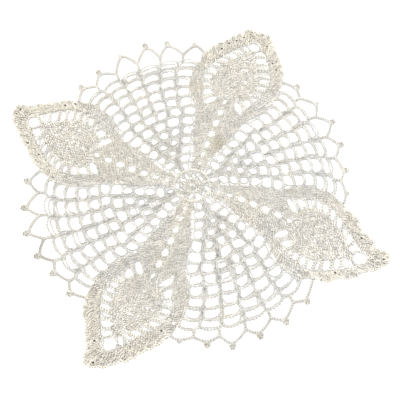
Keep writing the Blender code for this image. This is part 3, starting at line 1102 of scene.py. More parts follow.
@dataclass
class NetCell:
    """One cell of the net: its opening between two posts and two chains.

    Its sizes are the thread between the openings of two rounds, and between two of one round;
    how much narrower the first rounds' gaps are; and how far a gap's size and outline wander.
    """

    sector: int
    row: int
    gap: int
    wall: float = 2.3
    post: float = 3.1
    narrower: tuple[float, ...] = (0.70, 0.76, 0.84, 0.92)
    size_wander: float = 0.07
    height_wander: float = 0.12
    tilt: float = 0.2
    side_wander: tuple[float, float] = (0.08, 0.16)
    turns: tuple[float, float, float] = (5.3, 2.9, 4.7)
    arc_points: int = 9

    def __post_init__(self) -> None:
        """Works out the cell's place and the size of its opening.

        The opening's half height is half the room between the chains, and its half width half
        the room between the posts, both times the gap's own size. What is left of the height
        is slack, which extra chains take up.
        """
        this, below = ROUNDS[self.row], round_at(self.row - 1)
        self.inner, self.inner_bow, self.bar, self.bow = below.bar, below.bow, this.bar, this.bow
        at_stem = self.gap in (0, this.gaps - 1)
        size = (1.0 + self.size_wander * math.sin(self.phase(SIZE_PHASE))) * (
            1.0 if at_stem else this.opened)
        width, height = PULLED.get((self.sector, self.row, self.gap), (1.0, 1.0))
        cell = 2.0 * this.half / this.gaps
        self.angle = (self.sector + 0.5) * QUARTER - this.half + (self.gap + 0.5) * cell
        self.half_cell = cell / 2
        self.radius = (self.inner + self.bar) / 2
        room = (self.bar - self.inner - self.wall) / 2
        self.half_height = room * size * height
        self.slack = room - self.half_height
        if self.row < len(self.narrower):
            width *= self.narrower[self.row]
        half_width = (math.radians(cell) * self.radius - self.post) / 2 * min(1.0, size) * width
        self.half_angle = math.degrees(half_width / self.radius)

    def phase(self, weights: tuple[float, float, float]) -> float:
        """A phase of this cell's own: its sector, round and gap, weighed and added up."""
        return float(np.dot(weights, (self.sector, self.row, self.gap)))

    def ring(self) -> np.ndarray:
        """The opening's outline: a flat-sided oval, bowed out with the chains below and above.

        Each of its points wanders a little by sines of the cell's phase, and the whole is
        tilted by one.

        Returns:
            A ring of table points.
        """
        (near_side, near_share), (far_side, far_share) = (
            np.array(side).T for side in (SMALL_GAP if self.row < SMALL_ROUNDS else LARGE_GAP))
        low = self.radius + self.inner_bow * (1.0 - near_side ** 2) - self.half_height * near_share
        high = self.radius + self.bow * (1.0 - far_side ** 2) + self.half_height * far_share
        side = np.concatenate((near_side, far_side))
        key = self.phase(WANDER_PHASE) + np.arange(len(side))
        tilt = self.tilt * side * math.sin(self.phase(TILT_PHASE))
        wander = self.half_height * (self.height_wander * np.sin(self.turns[0] * key) + tilt)
        stretch, shift = self.side_wander
        side = side * (1.0 + stretch * np.sin(self.turns[1] * key)) + shift * np.sin(
            self.turns[2] * key)
        return CHART.lay(np.concatenate((low, high)) + wander, self.angle + self.half_angle * side)

    def arc(self, offset: float, reach: float = 1.0) -> np.ndarray:
        """A chain's line across the cell, bowed out by a parabola.

        Args:
            offset: Distance from the closing chain's line, negative towards the centre.
            reach: Half length of the line in half cells.

        Returns:
            Table points of the line.
        """
        side = np.linspace(-reach, reach, self.arc_points)
        share = np.clip(1.0 + offset / (self.bar - self.inner), 0.0, 1.0)
        bow = self.inner_bow + (self.bow - self.inner_bow) * share
        return CHART.lay(self.bar + offset + bow * (1.0 - side ** 2),
                         self.angle + side * self.half_cell)


@dataclass(frozen=True)
class Net:
    """The rounds of net in a sector: their closing chains, slack chains and posts."""

    slack_from: float = 0.4
    slack_step: float = 1.7
    slack_reach: float = 0.95
    lift: float = 0.2
    post_edge: float = 1.2
    post_pitch: float = 1.6
    post_inset: float = 0.5
    post_end: float = 0.2

    def work(self, hook: Hook, sector: Sector) -> None:
        """Works every round of a sector, from the middle out.

        Each cell has its closing chain, an edging round its opening, and as many more chains
        beside both of its own as its slack has room for.

        Args:
            hook: What works the stitches.
            sector: The sector.
        """
        for row, this in enumerate(ROUNDS):
            cells = [NetCell(sector.number, row, gap) for gap in range(this.gaps)]
            for cell in cells:
                bars = [cell.arc(0.0)]
                extra = round((cell.slack - self.slack_from) / self.slack_step)
                for line in range(1, extra + 1):
                    step = self.slack_step * line
                    for offset in (-step, step - (cell.bar - cell.inner)):
                        bars.append(cell.arc(offset, self.slack_reach))
                skein = sector.skein_at(cell.angle)
                hook.chains(skein, bars, Zone.NET, NET_CHAIN, self.lift)
                EDGING.work(skein, [cell.ring()], Zone.NET)
            for left, right in zip(cells, cells[1:]):
                self.post(hook, sector, row, left.angle + left.half_angle,
                          right.angle - right.half_angle)

    def post(self, hook: Hook, sector: Sector, row: int, start: float, end: float) -> None:
        """Works the tall stitches that fill the net between two openings of a round.

        Args:
            hook: What works the stitches.
            sector: The sector.
            row: The round.
            start: Chart angle where the first opening ends.
            end: Chart angle where the next one starts.
        """
        inner, bar = round_at(row - 1).bar, round_at(row).bar
        room = math.radians(end - start) * (inner + bar) / 2
        count = max(1, round((room - self.post_edge) / self.post_pitch))
        inset = self.post_inset / max(room, 1.0) * (end - start)
        angles = start + inset + evenly(count) * (end - start - 2.0 * inset)
        feet = CHART.lay(np.full(count, inner + self.post_end), angles)
        tops = CHART.lay(np.full(count, bar - self.post_end), angles)
        hook.stitches(sector.skein_at((start + end) / 2), feet, tops, Zone.NET, POST)


@dataclass(frozen=True)
class Loops:
    """The last round: pointed loops on short legs, each with a picot at its top.

    The span is half the angle they cover, the dip and the top are heights above the last
    chain, and the picot's sizes are its height, its width as a share of that, and how far it
    folds over where it lies folded.
    """

    span: float = 28.6
    dip: float = 6.6
    top: float = 13.2
    bend: float = 1.45
    leg: float = 0.4
    picot_foot: float = 0.3
    picot_top: float = 4.5
    picot_wide: float = 0.46
    picot_taper: float = 1.2
    folded: tuple[float, float] = (0.35, 0.5)
    lift: float = 0.1
    leg_points: int = 5
    picot_points: int = 17

    def work(self, hook: Hook, sector: Sector) -> None:
        """Works the loops of a sector.

        A loop falls off from its top by a power of the distance from its picot, down to the
        dip at both of its ends. All but the first stand on a leg at their start.

        Args:
            hook: What works the stitches.
            sector: The sector.
        """
        bar = ROUNDS[-1].bar
        hands = LOOP_HAND[sector.number]
        half = self.span / len(hands)
        for loop, (pull, picot) in enumerate(hands):
            middle = sector.middle - self.span + (2 * loop + 1) * half
            side = np.linspace(-1.0, 1.0, LINE_POINTS)
            fall = np.abs(side - picot) / np.where(side > picot, 1.0 - picot, 1.0 + picot)
            rise = self.dip + (self.top + pull - self.dip) * (1.0 - fall ** self.bend)
            line = CHART.lay(bar + rise, middle + side * half)
            if (sector.number, loop) in RUN_ON:
                onward = unit(line[-1] - line[-4]) * RUN_ON[sector.number, loop]
                line = np.vstack((line, line[-1] + onward))
            threads = [line]
            if loop:
                leg = np.linspace(bar + self.leg, bar + self.dip, self.leg_points)
                threads.append(CHART.lay(leg, middle - half))
            foot, top = (CHART.lay(bar + self.top + pull + height, middle + picot * half)
                         for height in (self.picot_foot, self.picot_top))
            away = top - foot
            if (sector.number, loop) in FOLDED_PICOTS:
                stay, over = self.folded
                away = away * stay + quarter_turned(away) * over
            skein = sector.skein_at(middle)
            hook.chains(skein, threads, Zone.LOOP, LOOP_CHAIN)
            hook.chains(skein, [self.picot(foot, away)], Zone.PICOT, CHAIN, self.lift)

    def picot(self, foot: np.ndarray, away: np.ndarray) -> np.ndarray:
        """Line of a picot: a horn-shaped ring that leaves its foot and comes back to it.

        For a from 0 to a full turn its place out, o, is (1 - cos a) / 2 of the height, and its
        place across is wide sin a (taper - o) of the height, so it narrows to its top.

        Args:
            foot: Its foot on the table.
            away: From its foot to its top.

        Returns:
            Table points of the line.
        """
        turn = np.linspace(0.0, 2.0 * np.pi, self.picot_points)
        out = (1.0 - np.cos(turn)) / 2
        across = self.picot_wide * np.sin(turn) * (self.picot_taper - out)
        return foot + out[:, None] * away + across[:, None] * quarter_turned(away)


@dataclass(frozen=True)
class Stem:
    """Half a stem: close rows of tall stitches from the corner's line out to the net.

    The first stitch of a row lies a share of a step off the corner's line, and the row's spare
    length at the net is a share of a step too.
    """

    first: float = 0.35
    spare: float = 0.2
    fewest: int = 3
    lift: float = 0.05

    def work(self, hook: Hook, half: HalfCorner, skein: Skein) -> None:
        """Works the stem's rounds, then the edging round its eyelets.

        A round's row lines run straight from the corner's line to the end of the round's
        chain, and its feet end halfway back to the end of the round below.

        Args:
            hook: What works the stitches.
            half: The half corner.
            skein: Where the threads go.
        """
        for row in range(STEM_ROUNDS):
            low = half.row_line(row - 1, (stem_half(row - 1) + stem_half(row)) / 2)
            high = half.row_line(row)
            count = max(self.fewest, round(length_of(high) / TALL.pitch)) + 1
            places = (np.arange(count) + self.first) / (count - self.spare)
            hook.fill(skein, half, low, high, places, Zone.STEM)
        if half.hand > 0:
            eyelets = [half.eyelet(*sizes) for sizes in EYELETS]
            FINE_EDGING.work(skein, eyelets, Zone.STEM, self.lift)


@dataclass(frozen=True)
class Pineapple:
    """Half a pineapple, the chains between its windows, and the side band beyond them.

    The stem's last row line carries the pineapple with its first base_points, and the side
    band with the rest. Rows from close_from on have the close pitch. The pinholes' sizes are
    where a row's first one lies, how much further in the rows between, their distance, the
    room left at the row's end, the chance under which one is there, its half width and how
    that follows the chance, and how much longer it is.
    """

    tall: float = 2.6
    first: float = 0.2
    last: float = 0.99
    close_from: int = 6
    close_pitch: float = 1.6
    base_points: int = 23
    lift: float = 0.1
    hole_first: float = 2.2
    hole_brick: float = 1.9
    hole_pitch: float = 3.9
    hole_room: float = 1.8
    hole_chance: float = -0.1
    hole_half: tuple[float, float] = (0.68, 0.16)
    hole_longer: float = 1.1
    hole_corners: int = 6
    hole_phase: tuple[float, float, float, float] = (7.1, 3.7, 2.3, 1.0)

    def pinholes(self, half: HalfCorner) -> list[np.ndarray]:
        """Small gaps between the stitches of half a pineapple, in rows set like bricks.

        The sine of a phase of its own says whether a hole is there, and how large it is.

        Args:
            half: The half corner.

        Returns:
            Rings of table points.
        """
        turn = turned_round(self.hole_corners)
        holes = []
        for index, row in enumerate(half.rows()[2:-1]):
            long = length_of(row.middle)
            start = self.hole_first + self.hole_brick * (index % 2)
            places = np.arange(start, long - self.hole_room, self.hole_pitch)
            for number, spot in enumerate(at_shares(row.middle, places / long)):
                chance = math.sin(np.dot(self.hole_phase, (index, number, half.corner, half.hand)))
                if chance <= self.hole_chance:
                    size = self.hole_half[0] + self.hole_half[1] * chance
                    reach = (self.hole_longer * np.cos(turn), np.sin(turn))
                    holes.append(half.placed(spot + size * np.stack(reach, axis=1)))
        return holes

    def work(self, hook: Hook, half: HalfCorner, skein: Skein) -> None:
        """Works the rows from the base to the point, each on the one below it.

        Args:
            hook: What works the stitches.
            half: The half corner.
            skein: Where the threads go.
        """
        FINE_EDGING.work(skein, half.window_rings(), Zone.BAR, self.lift)
        base = paced(half.row_line(STEM_ROUNDS - 1), LINE_POINTS)
        below, band = base[:self.base_points], base[self.base_points:]
        for index, (middle, bar, side) in enumerate(half.rows()):
            pitch = TALL.pitch if index < self.close_from else self.close_pitch
            count = max(2, round(length_of(middle) / pitch))
            places = evenly(count, 0.5 * (index % 2) + self.first)
            places = places[places < self.last]
            if half.hand > 0 and index % 2:
                places = np.concatenate(((0.0,), places))
            hook.fill(skein, half, below, middle, places, Zone.PINEAPPLE, self.tall)
            hook.chains(skein, [half.placed(bar)], Zone.BAR, CHAIN, self.lift)
            below = middle
            reach = length_of(side)
            if reach > 1.0:
                places = np.linspace(0.0, 1.0, max(2, round(reach / TALL.pitch)) + 1)
                hook.fill(skein, half, band, side, places, Zone.STEM)
                band = side


@dataclass(frozen=True)
class Eyes:
    """Small deep eyes between the shells: a ring of thread round a few sunk stitches whose
    near-black tone is a painted shadow in the eye.
    """

    half_width: float = 1.0
    half_height: float = 0.85
    lift: float = 0.15
    sunk: float = 0.79
    painted_shadow_tone: float = 0.18
    stitches: int = 4
    spread: float = 0.75
    reach: float = 0.8
    corners: int = 8

    def ring(self, corner: int, along: float, out: float) -> np.ndarray:
        """Outline of an eye: an oval round its middle on the table.

        Args:
            corner: The corner's number.
            along: Its middle along the corner's line.
            out: Its middle out from it.

        Returns:
            A ring of table points.
        """
        turn = turned_round(self.corners)
        oval = (self.half_width * np.cos(turn), self.half_height * np.sin(turn))
        return CHART.lay_corner(corner, along, out) + np.stack(oval, axis=1)

    def work(self, half: HalfCorner, skein: Skein) -> None:
        """Works the eyes on one side of a corner.

        Args:
            half: The half corner.
            skein: Where the threads go.
        """
        for corner, along, out in EYES:
            if corner != half.corner or out * half.hand <= 0.0:
                continue
            FINE_EDGING.work(skein, [self.ring(corner, along, out)], Zone.BORDER, self.lift)
            middle = CHART.lay_corner(corner, along, out)
            across = np.linspace(-self.spread, self.spread, self.stitches)[:, None] * (1.0, 0.0)
            feet, tops = (raised(middle + across + (0.0, end), self.sunk)
                          for end in (-self.reach, self.reach))
            # Painted shadow: the sunk stitches get a near-black tone for the shade deep in the eye.
            SHORT.work(skein, feet, tops, Zone.BORDER, np.full(self.stitches, self.painted_shadow_tone))


@dataclass(frozen=True)
class Border:
    """Border of half a corner: a close row by the windows, then the fans of its shells on it.

    The inner line starts at the point, passes the windows' ends and stops at the foot, where
    the net begins. The fans end at EDGE, moved outwards where the corner is fuller.
    """

    start: tuple[tuple[float, float], ...] = ((138.0, 0.6), (134.6, 5.6))
    foot: tuple[float, float] = (98.5, 26.5)
    beside: float = 0.9
    past: int = 5
    push: tuple[float, float] = (0.6, 0.8)
    hollow: float = 5.3
    full: tuple[float, float] = (3.2, -0.4)
    scallops: int = 3
    scallop_mean: float = 0.55
    points: int = 200
    tall: float = 2.3
    close: float = 0.48
    close_pitch: float = 1.9
    shells: int = 8
    fan: int = 4
    fan_foot: float = 0.9
    bulge: tuple[float, float] = (-1.3, 2.2)
    arc_points: int = 13
    lift: float = 0.1
    tip: tuple[float, float] = (137.4, 2.0)
    tip_half: float = 0.8
    end_foot: tuple[float, float] = (101.0, 35.0)
    end_top: tuple[tuple[float, float], ...] = ((-0.8, 0.0), (-6.2, 2.2))
    end_count: int = 5
    end_start: float = 0.3

    def lines(self, half: HalfCorner) -> tuple[np.ndarray, np.ndarray]:
        """Inner line and edge of a border, from its point to the net.

        The edge is moved in the push direction by the corner's fullness times a ramp, which is
        steep for a hollow corner, plus the scallops' depth times the size of a sine less its
        mean.

        Args:
            half: The half corner.

        Returns:
            Both lines, along and out.
        """
        beside = [window.outer + unit(window.outer - window.inner) * self.beside
                  for window in half.windows()[:self.past]]
        inner = np.vstack((half.mirrored(self.start), beside, half.mirrored((self.foot,))))
        edge = half.mirrored(EDGE)
        edge[:3, 1] *= 1.0 + POINTS[half.corner, BROADER]
        share = np.linspace(0.0, 1.0, LINE_POINTS)[:, None]
        fuller = POINTS[half.corner, FULLER_OTHER if half.hand > 0 else FULLER_CLOCKWISE]
        ramp = self.hollow * share if fuller < 0.0 else self.full[0] * share + self.full[1]
        push = fuller * np.clip(ramp, 0.0, 1.0) + POINTS[half.corner, SCALLOP] * (
            np.abs(np.sin(self.scallops * np.pi * share)) - self.scallop_mean)
        return inner, paced(edge, LINE_POINTS) + half.mirrored((self.push,)) * push

    def work(self, hook: Hook, half: HalfCorner, skein: Skein) -> None:
        """Works the close rows, the shells, the tip's middle line, the eyes and the end fan.

        Args:
            hook: What works the stitches.
            half: The half corner.
            skein: Where the threads go.
        """
        inner, outer = (paced(line, self.points) for line in self.lines(half))
        middle = inner + (outer - inner) * self.close
        places = evenly(round(length_of(middle) / self.close_pitch))
        hook.fill(skein, half, inner, middle, places, Zone.BORDER, self.tall, CLOSE)
        self.shell_row(hook, half, skein, middle, outer, unit(outer - inner))
        if half.hand > 0:
            start, short = self.tip
            ends = (np.array(((along, -self.tip_half), (along, self.tip_half)))
                    for along in (start, outer[0, 0] - short))
            hook.fill(skein, half, *ends, evenly(1), Zone.BORDER, self.tall, CLOSE)
        Eyes().work(half, skein)
        low = half.mirrored((self.foot, self.end_foot))
        high = outer[-1] + half.mirrored(self.end_top)
        places = evenly(self.end_count, self.end_start)
        hook.pair(skein, half, low, high, places, Zone.BORDER, SHORT)

    def shell_row(self, hook: Hook, half: HalfCorner, skein: Skein, low: np.ndarray,
                  edge: np.ndarray, out: np.ndarray) -> None:
        """Works a fan for each shell, and the chain along all of them.

        A shell's edge bulges out by half a sine, and its foot is narrower than its edge.

        Args:
            hook: What works the stitches.
            half: The half corner.
            skein: Where the threads go.
            low: Line that the fans stand on, along and out.
            edge: The border's edge, with as many points.
            out: Outward directions at those points.
        """
        least, swell = self.bulge
        bulge = least + swell * np.sin(np.linspace(0.0, np.pi, self.arc_points))
        arcs = []
        for shell in range(self.shells):
            shares = np.linspace(shell, shell + 1.0, self.arc_points) / self.shells
            cell = shares * (self.points - 1)
            top = between(edge, cell) + between(out, cell) * bulge[:, None]
            arcs.append(half.placed(top))
            heart = cell[self.arc_points // 2]
            foot = between(low, heart + (cell - heart) * self.fan_foot)
            hook.fill(skein, half, foot, top, evenly(self.fan), Zone.BORDER, self.tall, CLOSE)
        hook.chains(skein, arcs, Zone.BORDER, FINE_CHAIN, self.lift)


@dataclass(frozen=True)
class Point:
    """Half of a corner's very end: the fan round its opening, and the tip of the pineapple."""

    around: float = 1.1
    fan: int = 5
    tip_low: tuple[tuple[float, float], ...] = ((122.3, 0.0), (122.6, 3.4))
    tip_high: tuple[tuple[float, float], ...] = ((127.2, 0.0), (128.0, 2.8))
    lift: float = 0.1
    steps: int = 16

    def work(self, hook: Hook, half: HalfCorner, skein: Skein) -> None:
        """Works the chain round the opening, the fan on it and the pineapple's last stitches.

        The chain is half an oval round the opening.

        Args:
            hook: What works the stitches.
            half: The half corner.
            skein: Where the threads go.
        """
        along, length, width = POINT_GAP
        turn = np.linspace(0.0, np.pi, self.steps + 1)
        ring = half.mirrored(np.stack((along + (length / 2 + self.around) * np.cos(turn),
                                       (width / 2 + self.around) * np.sin(turn)), axis=1))
        hook.chains(skein, [half.placed(ring)], Zone.NET, FINE_CHAIN)
        if half.hand > 0:
            EDGING.work(skein, [half.eyelet(*POINT_GAP)], Zone.NET, self.lift)
        far, inner = ring[:self.steps // 2 + 1], Border().lines(half)[0][:3]
        hook.pair(skein, half, far, inner, evenly(self.fan), Zone.BORDER, SHORT)
        low, high = half.mirrored(self.tip_low), half.mirrored(self.tip_high)
        hook.pair(skein, half, low, high, evenly(2), Zone.PINEAPPLE)


@dataclass(frozen=True)
class Middle:
    """The round middle: three rounds of stitches from the centre out and two rings of chain.

    The rounds are inner radius, outer radius and stitches; its gaps are made shorter and wider
    than listed, and the stitches keep a little further off them.
    """

    rounds: tuple[tuple[float, float, int], ...] = ((0.2, 3.4, 9), (3.0, 7.6, 19), (7.2, 13.6, 40))
    chains: tuple[float, ...] = (5.9, 13.4)
    shape: tuple[tuple[float, float], ...] = ((1.0, 0.2), (0.4, 1.0), (-0.5, 0.9), (-1.0, 0.2),
                                              (-0.8, -0.6), (0.6, -0.8))
    gap_length: float = 0.55
    gap_width: float = 0.5775
    keep_off: float = 0.8
    arc_points: int = 13

    def gaps(self) -> list[np.ndarray]:
        """Outlines of the small gaps between its stitches.

        The shape is stretched along the gap's heading and square to it, at its place.

        Returns:
            Rings of table points.
        """
        shape = np.array(self.shape)
        rings = []
        for angle, radius, length, width, heading in MIDDLE_GAPS:
            turn = math.radians(heading)
            ahead = np.array((math.cos(turn), math.sin(turn)))
            place = CHART.lay(radius, angle - CHART.lean(radius))
            rings.append(place + shape[:, :1] * ahead * length * self.gap_length
                         + shape[:, 1:] * quarter_turned(ahead) * width * self.gap_width)
        return rings

    def work(self, skeins: Sequence[Skein]) -> None:
        """Works the rounds from the centre out, an eighth into each skein.

        Args:
            skeins: One for each eighth.
        """
        zone = Zone.STEM
        gaps = self.gaps()
        openings = Openings([ring + self.keep_off * unit(ring - ring.mean(axis=0))
                             for ring in gaps])
        for inner, outer, count in self.rounds:
            angles = evenly(count) * FULL_TURN
            feet, tops = (raised(CHART.lay(radius, angles), zone.height)
                          for radius in (inner, outer))
            feet, tops, rows = openings.clear(feet, tops)
            for eighth, skein in enumerate(skeins):
                mine = (angles[rows] // EIGHTH).astype(int) == eighth
                TALL.work(skein, feet[mine], tops[mine], zone)
        for radius in self.chains:
            for eighth, skein in enumerate(skeins):
                share = np.linspace(0.0, 1.0, self.arc_points)
                arc = CHART.lay(radius, EIGHTH * (eighth + share))
                FINE_CHAIN.work(skein, [raised(arc, zone.height)], zone)
        for (angle, *_), ring in zip(MIDDLE_GAPS, gaps):
            FINE_EDGING.work(skeins[int(angle // EIGHTH)], [ring], Zone.NET)


@dataclass(frozen=True)
class Doily:
    """The whole doily: its parts in the order they are worked, and its meshes' outlines.

    The outline of an eighth runs out along the corner's line, round the border's edge and
    along the loops' middle to the sector's middle line, and back on that.
    """

    middle: Middle = Middle()
    net: Net = Net()
    loops: Loops = Loops()
    corner_parts: tuple[Stem | Pineapple | Border | Point, ...] = (
        Stem(), Pineapple(), Border(), Point())
    point_reach: float = 148.0
    rim: float = 121.5
    rim_start: float = 16.4
    back_from: float = 116.0
    axis_points: int = 25
    rim_points: int = 15
    back_points: int = 20

    def openings(self) -> Openings:
        """Every opening that the thread goes round, from the middle to the corners.

        Returns:
            The openings.
        """
        rings = self.middle.gaps()
        for corner in range(CORNERS):
            rings += [NetCell(corner, row, gap).ring() for row, this in enumerate(ROUNDS)
                      for gap in range(this.gaps)]
            for half in (HalfCorner(corner, 1.0), HalfCorner(corner, -1.0)):
                rings += half.window_rings() + Pineapple().pinholes(half)
            rings += [Eyes().ring(*eye) for eye in EYES if eye[0] == corner]
            rings += [half.eyelet(*sizes) for sizes in EYELETS + (POINT_GAP,)]
        return Openings(rings)

    def outline(self, sector: Sector, half: HalfCorner) -> np.ndarray:
        """Flat outline of one eighth on the table.

        Args:
            sector: The sector it is half of.
            half: The half corner at its side.

        Returns:
            A ring of table points.
        """
        axis = np.linspace((0.0, 0.0), (self.point_reach, 0.0), self.axis_points)
        edge = Border().lines(half)[1]
        start = half.corner * QUARTER + half.hand * self.rim_start
        end = half.corner * QUARTER + half.hand * QUARTER / 2
        return np.concatenate((
            half.placed(axis), half.placed(edge),
            CHART.lay(self.rim, np.linspace(start, end, self.rim_points)),
            CHART.lay(np.linspace(self.back_from, 0.0, self.back_points), sector.middle)))

    def work(self, cotton: bpy.types.Material) -> list[bpy.types.Object]:
        """Works the middle, then each sector, and builds and dresses its two meshes.

        Args:
            cotton: The thread's finish.

        Returns:
            The eight pieces.
        """
        pieces = []
        hook = Hook(self.openings())
        skeins = [Skein(name, np.random.default_rng(SEED + number))
                  for number, name in enumerate(EIGHTHS)]
        self.middle.work(skeins)
        for number in range(CORNERS):
            sector = Sector(number, (skeins[2 * number], skeins[2 * number + 1]))
            self.net.work(hook, sector)
            self.loops.work(hook, sector)
            for half, skein in zip(sector.sides, sector.skeins):
                for part in self.corner_parts:
                    part.work(hook, half, skein)
                pieces.append(skein.build())
                skein.dress(pieces[-1], self.outline(sector, half), cotton)
        return pieces


class Recipe:
    """Nodes of one procedural material, put together step by step."""

    def __init__(self, name: str) -> None:
        """Starts a material with a plain shader.

        Args:
            name: The material's name.
        """
        self.made = bpy.data.materials.new(name)
        self.made.use_nodes = True
        self.shader = self.made.node_tree.nodes["Principled BSDF"]
        self.place = self.node("TexCoord").outputs["Object"]

    def node(self, kind: str, inputs: dict[str | int, object] | None = None,
             **settings: object) -> bpy.types.Node:
        """Adds a node.

        Args:
            kind: Its type, after ShaderNode.
            inputs: Numbers, colours or sockets for its inputs.
            **settings: Its own settings.

        Returns:
            The node.
        """
        added = self.made.node_tree.nodes.new("ShaderNode" + kind)
        for name, value in settings.items():
            setattr(added, name, value)
        for name, value in (inputs or {}).items():
            self.feed(added.inputs[name], value)
        return added

    def feed(self, socket: bpy.types.NodeSocket, value: object) -> None:
        """Feeds an input of a node.

        Args:
            socket: The input.
            value: A socket to link to it, or the number, colour or place it is set to.
        """
        if isinstance(value, bpy.types.NodeSocket):
            self.made.node_tree.links.new(value, socket)
        else:
            socket.default_value = value

    def attribute(self, name: str) -> bpy.types.NodeSocket:
        """A number carried by the mesh's own points."""
        return self.node("Attribute", attribute_name=name).outputs["Fac"]

    def noise(self, scale: float, detail: float) -> bpy.types.NodeSocket:
        """Noise over the object, in patches to the metre."""
        inputs = {"Vector": self.place, "Scale": scale, "Detail": detail}
        return self.node("TexNoise", inputs).outputs["Fac"]

    def step(self, kind: str, first: object, second: object = 0.0) -> bpy.types.NodeSocket:
        """One step of arithmetic on two numbers."""
        return self.node("Math", {0: first, 1: second}, operation=kind).outputs[0]

    def add(self, first: object, second: object) -> bpy.types.NodeSocket:
        """The sum of two numbers."""
        return self.step("ADD", first, second)

    def times(self, first: object, second: object) -> bpy.types.NodeSocket:
        """The product of two numbers."""
        return self.step("MULTIPLY", first, second)

    def ramp(self, value: bpy.types.NodeSocket, source: tuple[float, float],
             goal: tuple[float, float], kind: str = "LINEAR") -> bpy.types.NodeSocket:
        """A number between two others moved in step to between two more, and held there.

        Args:
            value: The number.
            source: The two it lies between.
            goal: The two it is moved to.
            kind: How it eases from one to the other.

        Returns:
            The moved number.
        """
        inputs = {"Value": value, "From Min": source[0], "From Max": source[1],
                  "To Min": goal[0], "To Max": goal[1]}
        return self.node("MapRange", inputs, interpolation_type=kind).outputs["Result"]

    def spread(self, noise: bpy.types.NodeSocket, low: float, high: float
               ) -> bpy.types.NodeSocket:
        """The bulk of a noise spread out from low to high."""
        return self.ramp(noise, NOISE_BULK, (low, high))

    def blend(self, share: bpy.types.NodeSocket, first: object,
              second: tuple[float, float, float]) -> bpy.types.NodeSocket:
        """A mix of two colours.

        Args:
            share: Share of the second, from 0 to 1.
            first: A colour, or a socket that gives one.
            second: The other colour.

        Returns:
            The mixed colour.
        """
        first = (*first, 1.0) if isinstance(first, tuple) else first
        inputs = {"Factor": share, "A": first, "B": (*second, 1.0)}
        return self.node("Mix", inputs, data_type="RGBA").outputs["Result"]


